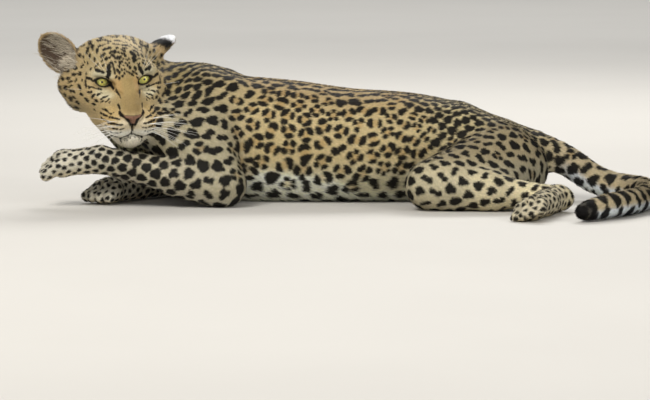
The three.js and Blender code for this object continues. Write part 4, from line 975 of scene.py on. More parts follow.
def from_marks(P, N, reach):
    """Distance along the skin to the nearest of the face's own marks, up to reach."""
    best = np.full(len(P), float(reach))
    for a, b, half in ALL_MARKS:
        low, high = np.minimum(a, b) - half - 5 - reach, np.maximum(a, b) + half + 5 + reach
        i = np.where(np.all((P > low) & (P < high), axis=1))[0]
        if not len(i):
            continue
        way = b - a
        t = np.clip((P[i] - a) @ way / max(way @ way, 1e-6), 0, 1)
        q = P[i] - a - t[:, None] * way
        q -= np.clip((q * N[i]).sum(1), -6, 6)[:, None] * N[i]
        w = half * (0.85 + 0.2 * np.sin(math.pi * np.clip(t, 0.02, 0.98)) + 0.1 * np.sin(1.9 * P[i][:, 0] + 1.3 * P[i][:, 2] + 5 * half))
        best[i] = np.minimum(best[i], np.sqrt((q * q).sum(1)) - w)
    return best


def bare():
    """1 where no spot is thrown: nose, eyes, whisker pads, ear insides and backs."""
    l, f, u = HEAD
    al, front = np.abs(l), step01(-70, -40, f)
    out = step01(15, 11, al) * step01(-90, -80, u) * step01(4, 0, u) * front
    pad = np.hypot(al - 27, (u + 70) * 1.15)
    out = np.maximum(out, step01(31, 28, pad) * step01(10, 20, f))
    out = np.maximum(out, step01(12, 8, al) * step01(-60, -64, u) * front)
    for s in (-1, 1):
        a, b = eye_plane(l, u, s)
        out = np.maximum(out, step01(4, 1, lens(a, b + 1, 27, 17)) * front)
    out = np.maximum(out, step01(-94, -97, u) * step01(36, 30, al) * step01(0, 10, f))
    # the whole face has its own marks
    out = np.maximum(out, step01(84, 78, al) * step01(56, 52, u) * step01(-104, -98, u) * step01(-66, -58, f))
    out = out * W["head"]
    face = W["head"] > 0.3
    out[face] = np.maximum(out[face], step01(7.2, 6.2, from_marks(SKIN[face], NORMAL[face], 8)))
    for name in ("ear_left", "ear_right"):
        base, wide, up, mouth, length, width = ear_frame(name)
        b = (SKIN - base) @ up / length
        out = np.maximum(out, step01(0.35, 0.6, W[name]) * step01(0.02, 0.08, b))
    return out


BARE = bare()
P4 = SKIN[QUADS]
AREA = 0.5 * np.linalg.norm(np.cross(P4[:, 2] - P4[:, 0], P4[:, 3] - P4[:, 1]), axis=1)


def scatter(chance, n, r):
    """n places on the skin, thrown by chance for each quad: the quads and the shares of their corners."""
    c = np.cumsum(chance)
    q = np.minimum(np.searchsorted(c, r.random(n) * c[-1]), len(QUADS) - 1)
    s, t = r.random(n), r.random(n)
    return q, np.stack([(1 - s) * (1 - t), s * (1 - t), s * t, (1 - s) * t], 1)


def at(field_, q, w):
    v = field_[QUADS[q]]
    return (v * (w if v.ndim == 2 else w[..., None])).sum(1)


def throw_spots():
    r = np.random.default_rng(5)
    chance = AREA * (1 / SPACE**2)[QUADS].mean(1) * (BARE[QUADS].max(1) < 0.5) * (SKIN[QUADS][:, :, 2].mean(1) > 1.5)
    q, w = scatter(chance, 26000, r)
    P, N, s = at(SKIN, q, w), normed(at(NORMAL, q, w)), at(SPACE, q, w)
    keep_P, keep_N, keep_s, k = np.zeros((4000, 3)), np.zeros((4000, 3)), np.zeros(4000), 0
    for i in range(len(q)):
        if k:
            d = ((keep_P[:k] - P[i]) ** 2).sum(1)
            if ((d < (0.385 * (keep_s[:k] + s[i])) ** 2) & (keep_N[:k] @ N[i] > -0.1)).any():
                continue
        keep_P[k], keep_N[k], keep_s[k] = P[i], N[i], s[i]
        k += 1
    P = keep_P[:k].copy()
    # even them out: each is pushed away by those near it, and kept on the skin
    tree = kdtree.KDTree(len(SKIN))
    for i, p in enumerate(SKIN.tolist()):
        tree.insert(p, i)
    tree.balance()
    v = np.array([tree.find(p)[1] for p in P.tolist()])
    for step in range(36):
        N, s = NORMAL[v], SPACE[v]
        if step % 6 == 0:
            first, second = [], []
            for a in range(0, k, 400):
                d2 = ((P[a:a + 400, None] - P[None]) ** 2).sum(-1)
                i, j = np.nonzero((d2 < (1.1 * (s[a:a + 400, None] + s[None])) ** 2) & (N[a:a + 400] @ N.T > 0.15))
                first.append(i[i + a != j] + a)
                second.append(j[i + a != j])
            first, second = np.concatenate(first), np.concatenate(second)
        off = P[first] - P[second]
        d = np.linalg.norm(off, axis=1)
        mean = 0.5 * (s[first] + s[second])
        push = np.clip(1 - d / (1.55 * mean), 0, 1) ** 1.5
        force = off / (d[:, None] + 1e-6) * (push * mean)[:, None]
        move = np.stack([np.bincount(first, force[:, c], k) for c in range(3)], 1) * (0.5 if step < 24 else 0.25)
        move -= (move * N).sum(1)[:, None] * N
        long = np.linalg.norm(move, axis=1)
        move *= (np.minimum(long, 0.2 * s) / (long + 1e-6))[:, None]
        new = P + move
        at_ = np.array([tree.find(p)[1] for p in new.tolist()])
        good = (BARE[at_] < 0.5) & (SKIN[at_, 2] > 1.0) & ((NORMAL[at_] * N).sum(1) > 0.3)
        new -= ((new - SKIN[at_]) * NORMAL[at_]).sum(1)[:, None] * NORMAL[at_]
        P[good], v[good] = new[good], at_[good]
    N = NORMAL[v]
    A = normed(FLOW[v] - (FLOW[v] * N).sum(1)[:, None] * N)
    return P, N, A, SPACE[v], ROSE[v], LONGER[v], TURN[v], SIZE[v]


def make_spots():
    """Each spot: place, frame, reach, and its blotches as bent ovals (ring radius, angle, half length, half thickness, waves)."""
    r = np.random.default_rng(8)
    out = []
    for p, n, a, s, rose, longer, turn, size in zip(*throw_spots()):
        across = np.cross(n, a)
        angle = math.radians(turn + r.normal(0, 14))
        e1 = a * math.cos(angle) + across * math.sin(angle)
        e2 = np.cross(n, e1)
        size = size * r.uniform(0.92, 1.08)
        stretch = math.sqrt(longer * r.uniform(0.92, 1.12))
        blots = []
        if r.random() < rose and s > 19:
            k = int(r.choice([2, 3, 4, 5], p=[0.16, 0.4, 0.34, 0.1] if s > 27 else [0.5, 0.4, 0.1, 0.0]))
            R = size * s * (0.63 if s > 26 else 0.57)
            gap = int(r.integers(k)) if r.random() < 0.2 and k > 3 else -1
            start = r.uniform(0, 2 * math.pi)
            share = r.uniform(0.8, 1.2, k)
            share = share / share.sum() * 2 * math.pi
            for j in range(k):
                middle = start + share[:j].sum() + share[j] / 2
                if j == gap:
                    continue
                half = max(share[j] / 2 * R * r.uniform(0.76, 0.98) - 0.3, 3.0) if k > 2 else share[j] / 2 * R * r.uniform(0.62, 0.82)
                thick = size * s * (r.uniform(0.32, 0.40) if s > 27 else r.uniform(0.35, 0.44))
                blots.append((R * r.uniform(0.94, 1.06), middle, half, thick, r.uniform(0.03, 0.10), r.uniform(0, 6.3), r.uniform(0.02, 0.07), r.uniform(0, 6.3)))
            centre = R
        else:
            centre = 0
            big = size * s * np.interp(s, [22, 30], [0.92, 0.8])
            if s > 22 and r.random() < 0.62:  # two or three lobes grown together
                k = int(r.integers(2, 4))
                start = r.uniform(0, 2 * math.pi)
                for j in range(k):
                    t = start + j * 2 * math.pi / k + r.normal(0, 0.25)
                    blots.append((0, t, big * r.uniform(0.56, 0.7), big * r.uniform(0.48, 0.62), r.uniform(0.03, 0.1), r.uniform(0, 6.3), r.uniform(0.03, 0.07), r.uniform(0, 6.3), big * 0.42))
            else:
                blots.append((0, r.uniform(0, 6.3), big, big * r.uniform(0.88, 1.0), r.uniform(0.04, 0.12), r.uniform(0, 6.3), r.uniform(0.03, 0.08), r.uniform(0, 6.3), 0.0))
        out.append((p, n, e1, e2, stretch, size * s * 1.25 * stretch + 3, centre, blots))
    return out


SPOTS = make_spots()


def cells(P, size):
    key = (np.floor(P / size).astype(np.int64) + 512) @ np.array([1, 1024, 1048576])
    order = np.argsort(key, kind="stable")
    return key[order], order


def spotted(P, N):
    """How black, and how much of a rosette's darker centre, at each place."""
    black, centre = np.zeros(len(P)), np.zeros(len(P))
    size = 14.0
    keys, order = cells(P, size)
    for p, n, e1, e2, stretch, reach, ring, blots in SPOTS:
        low, high = np.floor((p - reach) / size).astype(int) + 512, np.floor((p + reach) / size).astype(int) + 512
        g = np.stack(np.meshgrid(*[np.arange(a, b + 1) for a, b in zip(low, high)], indexing="ij"), -1).reshape(-1, 3) @ np.array([1, 1024, 1048576])
        a, b = np.searchsorted(keys, g), np.searchsorted(keys, g, "right")
        runs = [order[i:j] for i, j in zip(a, b) if j > i]
        if not runs:
            continue
        i = np.concatenate(runs)
        d = P[i] - p
        near = ((d * d).sum(1) < (reach * 1.1) ** 2) & (N[i] @ n > 0.1)
        i, d = i[near], d[near]
        if not len(i):
            continue
        x, y = d @ e1 / stretch, d @ e2 * stretch
        rr, psi = np.hypot(x, y), np.arctan2(y, x)
        dark = np.zeros(len(i))
        for blot in blots:
            R, middle, half, thick, w1, p1, w2, p2 = blot[:8]
            if R:
                a, b = np.angle(np.exp(1j * (psi - middle))) * R / half, (rr - R) / thick
                m = (np.abs(a) ** 2.4 + np.abs(b) ** 2.4) ** (1 / 2.4)
            else:
                dx, dy = x - blot[8] * math.cos(middle), y - blot[8] * math.sin(middle)
                c, s = math.cos(p2), math.sin(p2)
                a, b = (dx * c + dy * s) / half, (dy * c - dx * s) / thick
                m = np.hypot(a, b)
            t = np.arctan2(b, a)
            m = m * (1 + w1 * np.sin(3 * t + p1) + w2 * np.sin(5 * t + p2))
            edge = 1.1 / thick if thick > 5 else 0.7 / thick
            dark = np.maximum(dark, 1 - step01(1 - edge, 1 + edge, m))
        black[i] = np.maximum(black[i], dark)
        if ring:
            centre[i] = np.maximum(centre[i], 1 - step01(ring * 0.55, ring * 1.0, rr))
    return black, centre


# ---- The face's own marks ----------------------------------------------------
def stroke(l, u, points, wide, dashes=0, phase=0.0):
    """How black a tapering stroke through points (left, up) makes each place; with dashes it is broken."""
    best, where = np.full(len(l), 1e9), np.zeros(len(l))
    lengths = [math.dist(a, b) for a, b in zip(points[:-1], points[1:])]
    total, done = sum(lengths), 0.0
    for (a, b), length in zip(zip(points[:-1], points[1:]), lengths):
        t = np.clip(((l - a[0]) * (b[0] - a[0]) + (u - a[1]) * (b[1] - a[1])) / length**2, 0, 1)
        d = np.hypot(l - a[0] - t * (b[0] - a[0]), u - a[1] - t * (b[1] - a[1]))
        near = d < best
        best[near], where[near] = d[near], ((done + t * length) / total)[near]
        done += length
    w = wide * (0.55 + 0.45 * np.sqrt(np.clip(4 * where * (1 - where) + 0.1, 0, 1)))
    if dashes:
        w = w * (0.12 + 0.88 * step01(0.15, 0.5, 0.5 + 0.5 * np.cos(2 * math.pi * (where * dashes - phase))))
    return 1 - step01(w - 0.55, w + 0.55, best)


def face_marks(P, N):
    """Black marks, with painted shade in the nostrils and down the leather's middle groove, the nose leather and the
    wet rims: three shares for each place.
    """
    l, f, u = local(P)
    front = step01(-0.05, 0.2, N @ F_) * step01(-75, -55, f)
    black, leather, wet = np.zeros(len(P)), np.zeros(len(P)), np.zeros(len(P))
    def mark(m):
        np.maximum(black, m * front, out=black)
    for s in (-1, 1):
        a, b = eye_plane(l, u, s)
        rim = step01(0.8, -0.6, lens(a, b - 0.6, 18.5, 9.6)) * step01(-45, -30, f)
        mark(rim)
        np.maximum(wet, rim * step01(3.0, 0.5, lens(a, b, 12.0, 7.0)), out=wet)
        q = s * l
        for points, wide in (
            ([(0, -68), (0, -80), (0, -90)], 2.0),                              # cleft and lips
            ([(0, -88), (8, -92.5), (20, -95.5), (33, -95), (44, -89)], 1.15),
            ([(29, 0.5), (25.5, -4.5), (22, -11), (19, -17)], 2.5),             # from the inner corner down
            ([(19.5, -16), (17.5, -23)], 0.9),
        ):
            mark(stroke(q, u, points, wide))
    # the nose leather: wide above, narrowing to the cleft
    al = np.abs(l)
    top = step01(-51.2, -52.4, u - 0.05 * al)
    wing = np.interp(u, [-75, -70, -65, -60, -55, -51], [0.3, 1.8, 4.2, 8.8, 14.8, 17.4])
    leather = top * step01(1.0, -0.8, al - wing) * step01(-75.5, -73.5, u) * front
    # the dark edge of the wings, from beside the bridge down to the cleft
    rim = step01(4.4, 3.2, al - wing - 1.5 * step01(-58, -64, u)) * step01(-1.6, -0.4, al - wing) * step01(-49.5, -53.0, u) * step01(-76, -71, u)
    line = step01(-50.3, -51.2, u - 0.05 * al) * step01(-53.0, -52.0, u - 0.05 * al) * step01(19, 16, al) * 0.55
    # the nostrils painted black: painted shade in their openings
    nostril_shade = step01(4.0, 2.4, np.hypot((al - 9.6) * 0.7, (u + 60.2 - 0.45 * (al - 9.6)) * 1.15))
    mark(np.maximum(np.maximum(rim, nostril_shade), line))
    # a dark line down the leather's middle: painted shade of its middle groove
    mark(step01(0.7, 0.1, al) * leather * 0.5)
    near = from_marks(P, N, 3)
    np.maximum(black, step01(0.5, -0.5, near), out=black)
    return black, leather, np.maximum(wet, leather)


def paint(P, N, base, in_head):
    """The coat's colour: ground, a rosette's centre, black, and the nose leather."""
    black, centre = spotted(P, N)
    out = base + (base * np.array([0.84, 0.73, 0.58]) - base) * (0.8 * centre)[:, None]
    face = in_head > 0.5
    wet = np.zeros(len(P))
    if face.any():
        b, leather, w = face_marks(P[face], N[face])
        black[face] = np.maximum(black[face], b)
        pink = tone(132, 98, 80) * (0.85 + 0.3 * np.random.default_rng(3).random(len(b)))[:, None]
        out[face] = out[face] + (pink - out[face]) * leather[:, None]
        wet[face] = w
    out = out + (tone(10, 8, 7) - out) * (black * 0.985)[:, None]
    return out, wet, black


SKIN_COLOUR, SKIN_GLOSS, _ = paint(SKIN, NORMAL, GROUND, W["head"])


# ---- The coat: tufts over the skin, each a thin blade of its own ------------
GROUPS = {"coat_head": ["head"], "coat_ears": ["ear_right", "ear_left"], "coat_neck": ["neck"], "coat_trunk": ["trunk"],
          "coat_foreleg_left": ["upper_arm_left", "forearm_left", "forepaw_left"],
          "coat_foreleg_right": ["upper_arm_right", "forearm_right", "forepaw_right"],
          "coat_hindleg_left": ["thigh_left", "shank_left", "hind_foot_left"],
          "coat_hindleg_right": ["thigh_right", "shank_right", "hind_foot_right"],
          "coat_tail": ["tail_root", "tail_middle", "tail_tip"]}
MOST = 48000  # tufts in one piece


def unwrap(name, P, N):
    """Around and along one part, both 0 to 1: a place on the unwrap of its own shape."""
    if name == "head":
        l, f, u = local(P)
        f, u = f + 42, u + 18
        return np.arctan2(l, f) / (2 * math.pi) + 0.5, np.arcsin(np.clip(u / np.sqrt(l * l + f * f + u * u), -1, 1)) / math.pi + 0.5
    if name.startswith("ear"):
        base, wide, up, mouth, length, width = ear_frame(name)
        q = P - base
        a = np.clip(q @ wide / width * 0.9 + 0.5, 0.02, 0.98)
        return np.where(N @ mouth > 0, a * 0.5, 0.5 + a * 0.5), q @ up
    if name.startswith("tail"):
        i = on_tail(P)
        way, q = TAIL_WAY[i], P - TAIL_LINE[i]
        side = normed(np.cross(way, [0.0, 0.0, 1.0]))
        over = np.cross(side, way)
        return np.arctan2((q * side).sum(1), -(q * over).sum(1)) / (2 * math.pi) + 0.5, TAIL_ALONG[i] + (q * way).sum(1)
    a, b = (np.array(v, float) for v in AXIS[name])
    way = (b - a) / np.linalg.norm(b - a)
    side = np.cross(way, [0.0, 0.0, 1.0])
    side /= np.linalg.norm(side)
    over = np.cross(side, way)
    q = P - a
    return np.arctan2(q @ side, -(q @ over)) / (2 * math.pi) + 0.5, q @ way


def within(v):
    low, high = np.percentile(v, [0.2, 99.8]) if len(v) else (0, 1)
    return np.clip((v - low) / max(high - low, 1e-6), 0, 1)


def tufts(names, r):
    """Where the tufts of these parts stand, and all that the skin tells them."""
    own = np.isin(OWNER[QUADS[:, 0]], [NAMES.index(n) for n in names])
    hidden = (NORMAL[QUADS][:, :, 2].mean(1) < -0.7) & (SKIN[QUADS][:, :, 2].mean(1) < 3.0)
    chance = AREA * DENSE[QUADS].mean(1) * own * ~hidden
    n = int(chance.sum() * THICK)
    q, w = scatter(chance, n, r)
    P, N = at(SKIN, q, w), normed(at(NORMAL, q, w))
    # no hair inside the lids or on the nose leather
    keep = np.ones(n, bool)
    if "head" in names:
        l, f, u = local(P)
        for s in (-1, 1):
            a, b = eye_plane(l, u, s)
            keep &= ~((lens(a, b, 12.8, 7.8) < 0) & (f > -45))
        al = np.abs(l)
        keep &= ~((al < np.interp(u, [-76, -70, -64, -58, -51], [0, 6.5, 12.5, 16.5, 17.0])) & (u < -51) & (u > -75) & (f > 55))
    q, w, P, N = q[keep], w[keep], P[keep], N[keep]
    A = at(FLOW, q, w)
    return P, N, normed(A - (A * N).sum(1)[:, None] * N), at(GROUND, q, w), at(W["head"], q, w), at(LONG, q, w), OWNER[QUADS[q, 0]], q, w


THICK = 1.5


def blades(P, N, A, long, wide, lift, r):
    """Four corners to a blade: two at the root above, one below them, and the tip."""
    n = len(P)
    across = np.cross(A, N)
    turn = r.normal(0, 0.17, n)[:, None]
    way = normed(A * np.cos(turn) + across * np.sin(turn))
    way = normed(way * np.cos(lift)[:, None] + N * np.sin(lift)[:, None])
    side = normed(np.cross(way, N) + N * r.normal(0, 0.22, n)[:, None])
    root = P - N * 0.7
    half, deep = side * (wide / 2)[:, None], N * (wide * 0.16)[:, None]
    V = np.stack([root + half + deep, root - half + deep, root - deep * 1.5, root + way * long[:, None]], 1)
    V[:, :, 2] = np.maximum(V[:, :, 2], 0.25)
    normal = np.stack([normed(N + side * 0.55), normed(N - side * 0.55), normed(N * 0.6 - way * 0.4), normed(N + way * 0.25)], 1)
    return V, normal


BLADE = np.array([[0, 3, 1], [0, 1, 2], [0, 2, 3], [1, 3, 2]])
CORNERS = np.array([[-0.0015, -0.0015], [0.0015, -0.0015], [0.0, -0.0006], [0.0, 0.0015]])


def coat_piece(name, V, normal, colour, uv):
    n = len(V)
    faces = (BLADE[None] + 4 * np.arange(n)[:, None, None]).reshape(-1, 3)
    corner = uv[:, None, :] + CORNERS[None]
    patches = corner.reshape(-1, 2)[faces.ravel()]
    o = mesh_object(name, V.reshape(-1, 3), faces, colour.reshape(-1, 3), patches=patches)
    o.data.normals_split_custom_set_from_vertices(normal.reshape(-1, 3).astype(np.float32))
    o.data.materials.append(COAT_LOOK)
    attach(o, "root")
    return o


# ---- Objects ----------------------------------------------------------------
def mesh_object(name, points, faces, colours=None, gloss=None, smooth_faces=True, patches=None):
    """points in mm, faces an (n, k) array, one linear colour per point, patches one UV per face corner."""
    me = bpy.data.meshes.new(name)
    k = faces.shape[1]
    me.vertices.add(len(points))
    me.vertices.foreach_set("co", (np.asarray(points, np.float32) / 1000).ravel())
    me.loops.add(faces.size)
    me.loops.foreach_set("vertex_index", faces.astype(np.int32).ravel())
    me.polygons.add(len(faces))
    me.polygons.foreach_set("loop_start", np.arange(0, faces.size, k, dtype=np.int32))
    me.polygons.foreach_set("loop_total", np.full(len(faces), k, np.int32))
    if patches is not None:
        uv = me.uv_layers.new(name="OFBake")
        uv.data.foreach_set("uv", patches.astype(np.float32).ravel())
    me.update(calc_edges=True)
    me.polygons.foreach_set("use_smooth", np.full(len(faces), smooth_faces))
    if colours is not None:
        c = me.color_attributes.new("Coat", "FLOAT_COLOR", "POINT")
        c.data.foreach_set("color", np.concatenate([np.clip(colours, 0, 1), np.ones((len(points), 1))], 1).astype(np.float32).ravel())
    if gloss is not None:
        g = me.attributes.new("Gloss", "FLOAT", "POINT")
        g.data.foreach_set("value", np.asarray(gloss, np.float32))
    me.validate()
    o = bpy.data.objects.new(name, me)
    bpy.context.scene.collection.objects.link(o)
    return o


def material(name, roughness=0.5):
    m = bpy.data.materials.new(name)
    m.use_nodes = True
    m.node_tree.nodes.clear()
    nt = m.node_tree
    out = nt.nodes.new("ShaderNodeOutputMaterial")
    bsdf = nt.nodes.new("ShaderNodeBsdfPrincipled")
    bsdf.inputs["Roughness"].default_value = roughness
    nt.links.new(bsdf.outputs[0], out.inputs["Surface"])
    return m, nt, bsdf


def node(nt, kind, **values):
    n = nt.nodes.new("ShaderNode" + kind)
    for k, v in values.items():
        if hasattr(n, k):
            setattr(n, k, v)
        else:
            n.inputs[k.replace("_", " ")].default_value = v
    return n


def speckled(nt, colour, scale, low, high, detail=3.0):
    """colour, made darker and lighter by fine noise in object space."""
    place = node(nt, "TexCoord")
    noise = node(nt, "TexNoise", Scale=scale, Detail=detail)
    nt.links.new(place.outputs["Object"], noise.inputs["Vector"])
    span_ = node(nt, "MapRange")
    span_.inputs["From Min"].default_value, span_.inputs["From Max"].default_value = 0.3, 0.7
    span_.inputs["To Min"].default_value, span_.inputs["To Max"].default_value = low, high
    nt.links.new(noise.outputs["Fac"], span_.inputs["Value"])
    times = node(nt, "VectorMath", operation="SCALE")
    nt.links.new(colour, times.inputs[0])
    nt.links.new(span_.outputs["Result"], times.inputs["Scale"])
    return times.outputs["Vector"], noise


def coat_material(name, is_skin):
    m, nt, bsdf = material(name, 0.62)
    colour = node(nt, "VertexColor", layer_name="Coat")
    shade, noise = speckled(nt, colour.outputs["Color"], 420 if is_skin else 260, 0.86, 1.12)
    nt.links.new(shade, bsdf.inputs["Base Color"])
    bsdf.inputs["Specular IOR Level"].default_value = 0.2
    if is_skin:
        gloss = node(nt, "Attribute", attribute_name="Gloss")
        rough = node(nt, "MapRange")
        rough.inputs["To Min"].default_value, rough.inputs["To Max"].default_value = 0.66, 0.26
        nt.links.new(gloss.outputs["Fac"], rough.inputs["Value"])
        nt.links.new(rough.outputs["Result"], bsdf.inputs["Roughness"])
        fine = node(nt, "TexNoise", Scale=900.0, Detail=4.0)
        place = node(nt, "TexCoord")
        nt.links.new(place.outputs["Object"], fine.inputs["Vector"])
        bump = node(nt, "Bump", Strength=0.35, Distance=0.0006)
        nt.links.new(fine.outputs["Fac"], bump.inputs["Height"])
        nt.links.new(bump.outputs["Normal"], bsdf.inputs["Normal"])
    else:
        rough = node(nt, "MapRange")
        rough.inputs["To Min"].default_value, rough.inputs["To Max"].default_value = 0.5, 0.72
        nt.links.new(noise.outputs["Fac"], rough.inputs["Value"])
        nt.links.new(rough.outputs["Result"], bsdf.inputs["Roughness"])
    return m


# ---- Growing the coat --------------------------------------------------------
COAT_LOOK = coat_material("coat", False)


def grow():
    r = np.random.default_rng(11)
    count_all = 0
    for group, names in GROUPS.items():
        P, N, A, base, in_head, long, owner, q, w = tufts(names, r)
        n = len(P)
        long = long * r.uniform(0.75, 1.2, n)
        wide = np.interp(long, [2, 5, 14, 22], [0.85, 1.15, 2.1, 2.4]) * r.uniform(0.8, 1.2, n) * 1
        rise_ = np.arcsin(np.clip(np.interp(long, [2.5, 6, 14, 22], [1.5, 2.4, 4.6, 6.5]) / long, 0, 0.5)) * r.uniform(0.6, 1.25, n)
        # each tuft takes the colour of its own skin, a little further along the hair
        spot_at = P + A * (0.42 * long * r.uniform(0.75, 1.25, n))[:, None] + np.cross(N, A) * r.normal(0, 0.3, n)[:, None]
        colour, _, black = paint(spot_at, N, base, in_head)
        vary = np.exp(r.normal(0, 0.10, n))[:, None] * np.stack([np.ones(n), np.exp(r.normal(0, 0.02, n)), np.exp(r.normal(0, 0.06, n))], 1)
        colour = colour * (vary * (1 - black[:, None]) + black[:, None])
        V, normal = blades(P, N, A, long, wide, rise_, r)
        # painted shade at the roots, where the tufts lie in each other's shade; painted light at the tips, brightened
        # against that shade
        tones = np.stack([colour * 0.98, colour * 0.98, colour * 0.8, colour * 1.24], 1)
        share = np.zeros((n, 2))
        bands = np.array([(owner == NAMES.index(k)).sum() for k in names], float) + 1
        edges = np.concatenate([[0], np.cumsum(bands / bands.sum())])
        along = np.zeros(n)
        for k, name in enumerate(names):
            m = owner == NAMES.index(name)
            if m.any():
                around, far = unwrap(name, P[m], N[m])
                share[m, 0] = around
                along[m] = edges[k] + within(far) * (edges[k + 1] - edges[k])
        pieces = max(1, math.ceil(n / MOST))
        cut = np.quantile(along, np.linspace(0, 1, pieces + 1))
        for i in range(pieces):
            m = (along >= cut[i]) & ((along < cut[i + 1]) | (i == pieces - 1))
            share[m, 1] = (along[m] - cut[i]) / max(cut[i + 1] - cut[i], 1e-9)
            uv = 0.01 + 0.98 * share[m]
            piece = group if pieces == 1 else f"{group}_{i + 1}"
            coat_piece(piece, V[m], normal[m], tones[m], uv)
        count_all += n
        print(group, n, "tufts")
    print("all", count_all, "tufts", count_all * 4, "triangles")


grow()


# ---- Long pale hair inside the ears -------------------------------------------
def ear_hair():
    r = np.random.default_rng(41)
    every = []
    for name in ("ear_right", "ear_left"):
        base, wide, up, mouth, length, width = ear_frame(name)
        own = (OWNER[QUADS[:, 0]] == NAMES.index(name)) | (W[name][QUADS].mean(1) > 0.35)
        inside = in_cup(name, SKIN, NORMAL)[QUADS].mean(1)
        centre = SKIN[QUADS].mean(1) - base
        a, b = centre @ wide / (width * 0.5), centre @ up / length
        # a fan from the edge next to the crown and from the lower edge, bare and dark in the cup's depth
        inner = a * (1 if (wide @ L_) * (1 if name == "ear_right" else -1) > 0 else -1)
        chance = AREA * own * step01(0.3, 0.8, inside) * step01(0.85, 0.6, b) * (0.08 + step01(-0.2, 0.7, inner) + 0.8 * step01(0.32, 0.08, b))
        n = int(min(chance.sum() * 0.34, 1300) * (1))
        q, w = scatter(chance, n, r)
        P, N = at(SKIN, q, w), normed(at(NORMAL, q, w))
        outward = L_ * (-1 if name == "ear_right" else 1)
        A = up * 0.75 + outward * 0.7 + mouth * 0.3
        A = normed(A + r.normal(0, 0.2, (n, 3)))
        A = normed(A - (A * N).sum(1)[:, None] * N)
        long = r.uniform(13, 27, n) * (1.0 if name == "ear_right" else 0.7)
        V, normal = blades(P, N, A, long, r.uniform(0.8, 1.4, n), r.uniform(0.15, 0.42, n), r)
        c = tone(208, 196, 174) * np.exp(r.normal(0, 0.22, n))[:, None]
        # roots far darker than the tips: painted shade where the hairs lie deep in the cup
        tones = np.stack([c * 0.36, c * 0.36, c * 0.3, c * 1.0], 1)
        u, v = unwrap(name, P, N)
        every.append((V, normal, tones, np.stack([u, v], 1), name))
    V, normal, tones = (np.concatenate([e[k] for e in every]) for k in range(3))
    uv = np.concatenate([np.stack([0.01 + 0.98 * e[3][:, 0], 0.01 + 0.49 * i + 0.47 * within(e[3][:, 1])], 1) for i, e in enumerate(every)])
    coat_piece("coat_ear_hair", V, normal, tones, uv)


ear_hair()


# ---- Eyes --------------------------------------------------------------------
def eye(side, s):
    """A ball with its cornea: pupil, iris, dark ring and the dark rest, in one smooth mesh."""
    centre = np.array(inHead(s * EYE_OUT, EYE_BACK, 0))
    gaze = np.array([s * 0.06, 1.0, -0.03]) @ np.stack([L_, F_, U_])
    gaze /= np.linalg.norm(gaze)
    right = np.cross(gaze, [0, 0, 1.0])
    right /= np.linalg.norm(right)
    up = np.cross(right, gaze)
    n, R = 72, EYE_RADIUS - 0.5
    reach = np.concatenate([[0.7, 1.4, 1.9, 2.3], np.linspace(2.8, 9.8, 13), [10.2, 10.6, 11.0, 11.6, 12.6, 14.0, 15.6, 16.6]])
    rings = [(q, math.sqrt(R * R - q * q)) for q in reach] + [(R, 0.0)] + [(R * math.cos(t), -R * math.sin(t)) for t in np.linspace(0.2, 1.4, 8)]
    r = np.random.default_rng(31 + s)
    streak = np.convolve(np.tile(r.random(n), 3), [0.25, 0.5, 0.25], "same")[n:2 * n]
    pts, cols = [centre + gaze * (R + 1.5)], [tone(6, 6, 6)]
    for q, depth in rings:
        bulge = 1.5 * (1 - step01(0.0, 11.4, q)) if depth > 0 else 0.0
        for j in range(n):
            t = 2 * math.pi * j / n
            pts.append(centre + (right * math.cos(t) + up * math.sin(t)) * q + gaze * (depth + bulge))
            if q < 2.1 and depth > 0:
                c = tone(6, 6, 6)
            elif q < 10.4 and depth > 0:
                # the iris's tones set brighter than its own colour: partly painted light against the lids' shade
                inner = tone(250, 242, 128) * (1 - step01(3, 8.5, q)) + tone(236, 244, 150) * step01(3, 8.5, q)
                c = inner * (0.9 + 0.24 * streak[j]) * (1 - 0.4 * step01(9.2, 10.4, q)) * (0.6 + 0.4 * step01(2.0, 2.6, q))
            elif q < 11.4 and depth > 0:
                c = tone(22, 24, 14)
            else:
                c = tone(44, 32, 22)
            cols.append(c)
    faces = []
    for i in range(len(rings) - 1):
        for j in range(n):
            a, b = 1 + i * n + j, 1 + i * n + (j + 1) % n
            faces.append((a, a + n, b + n, b))
    pts.append(centre - gaze * R)
    cols.append(tone(44, 32, 22))
    last, end = 1 + (len(rings) - 1) * n, len(pts) - 1
    caps = [(0, 1 + j, 1 + (j + 1) % n, 1 + (j + 1) % n) for j in range(n)] + [(end, last + (j + 1) % n, last + j, last + j) for j in range(n)]
    quads = np.array(faces)
    tris = np.array([c[:3] for c in caps])
    both = np.concatenate([quads[:, [0, 1, 2]], quads[:, [0, 2, 3]], tris])
    o = mesh_object("eye_ball_" + side, np.array(pts), both, np.array(cols))
    m, nt, bsdf = material("eye_" + side, 0.12)
    colour = node(nt, "VertexColor", layer_name="Coat")
    shade, _ = speckled(nt, colour.outputs["Color"], 900, 0.94, 1.25)
    nt.links.new(shade, bsdf.inputs["Base Color"])
    bsdf.inputs["Coat Weight"].default_value = 1.0
    bsdf.inputs["Coat Roughness"].default_value = 0.03
    o.data.materials.append(m)
    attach(o, "root")
    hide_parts("eye_" + side)


eye("left", 1)
eye("right", -1)


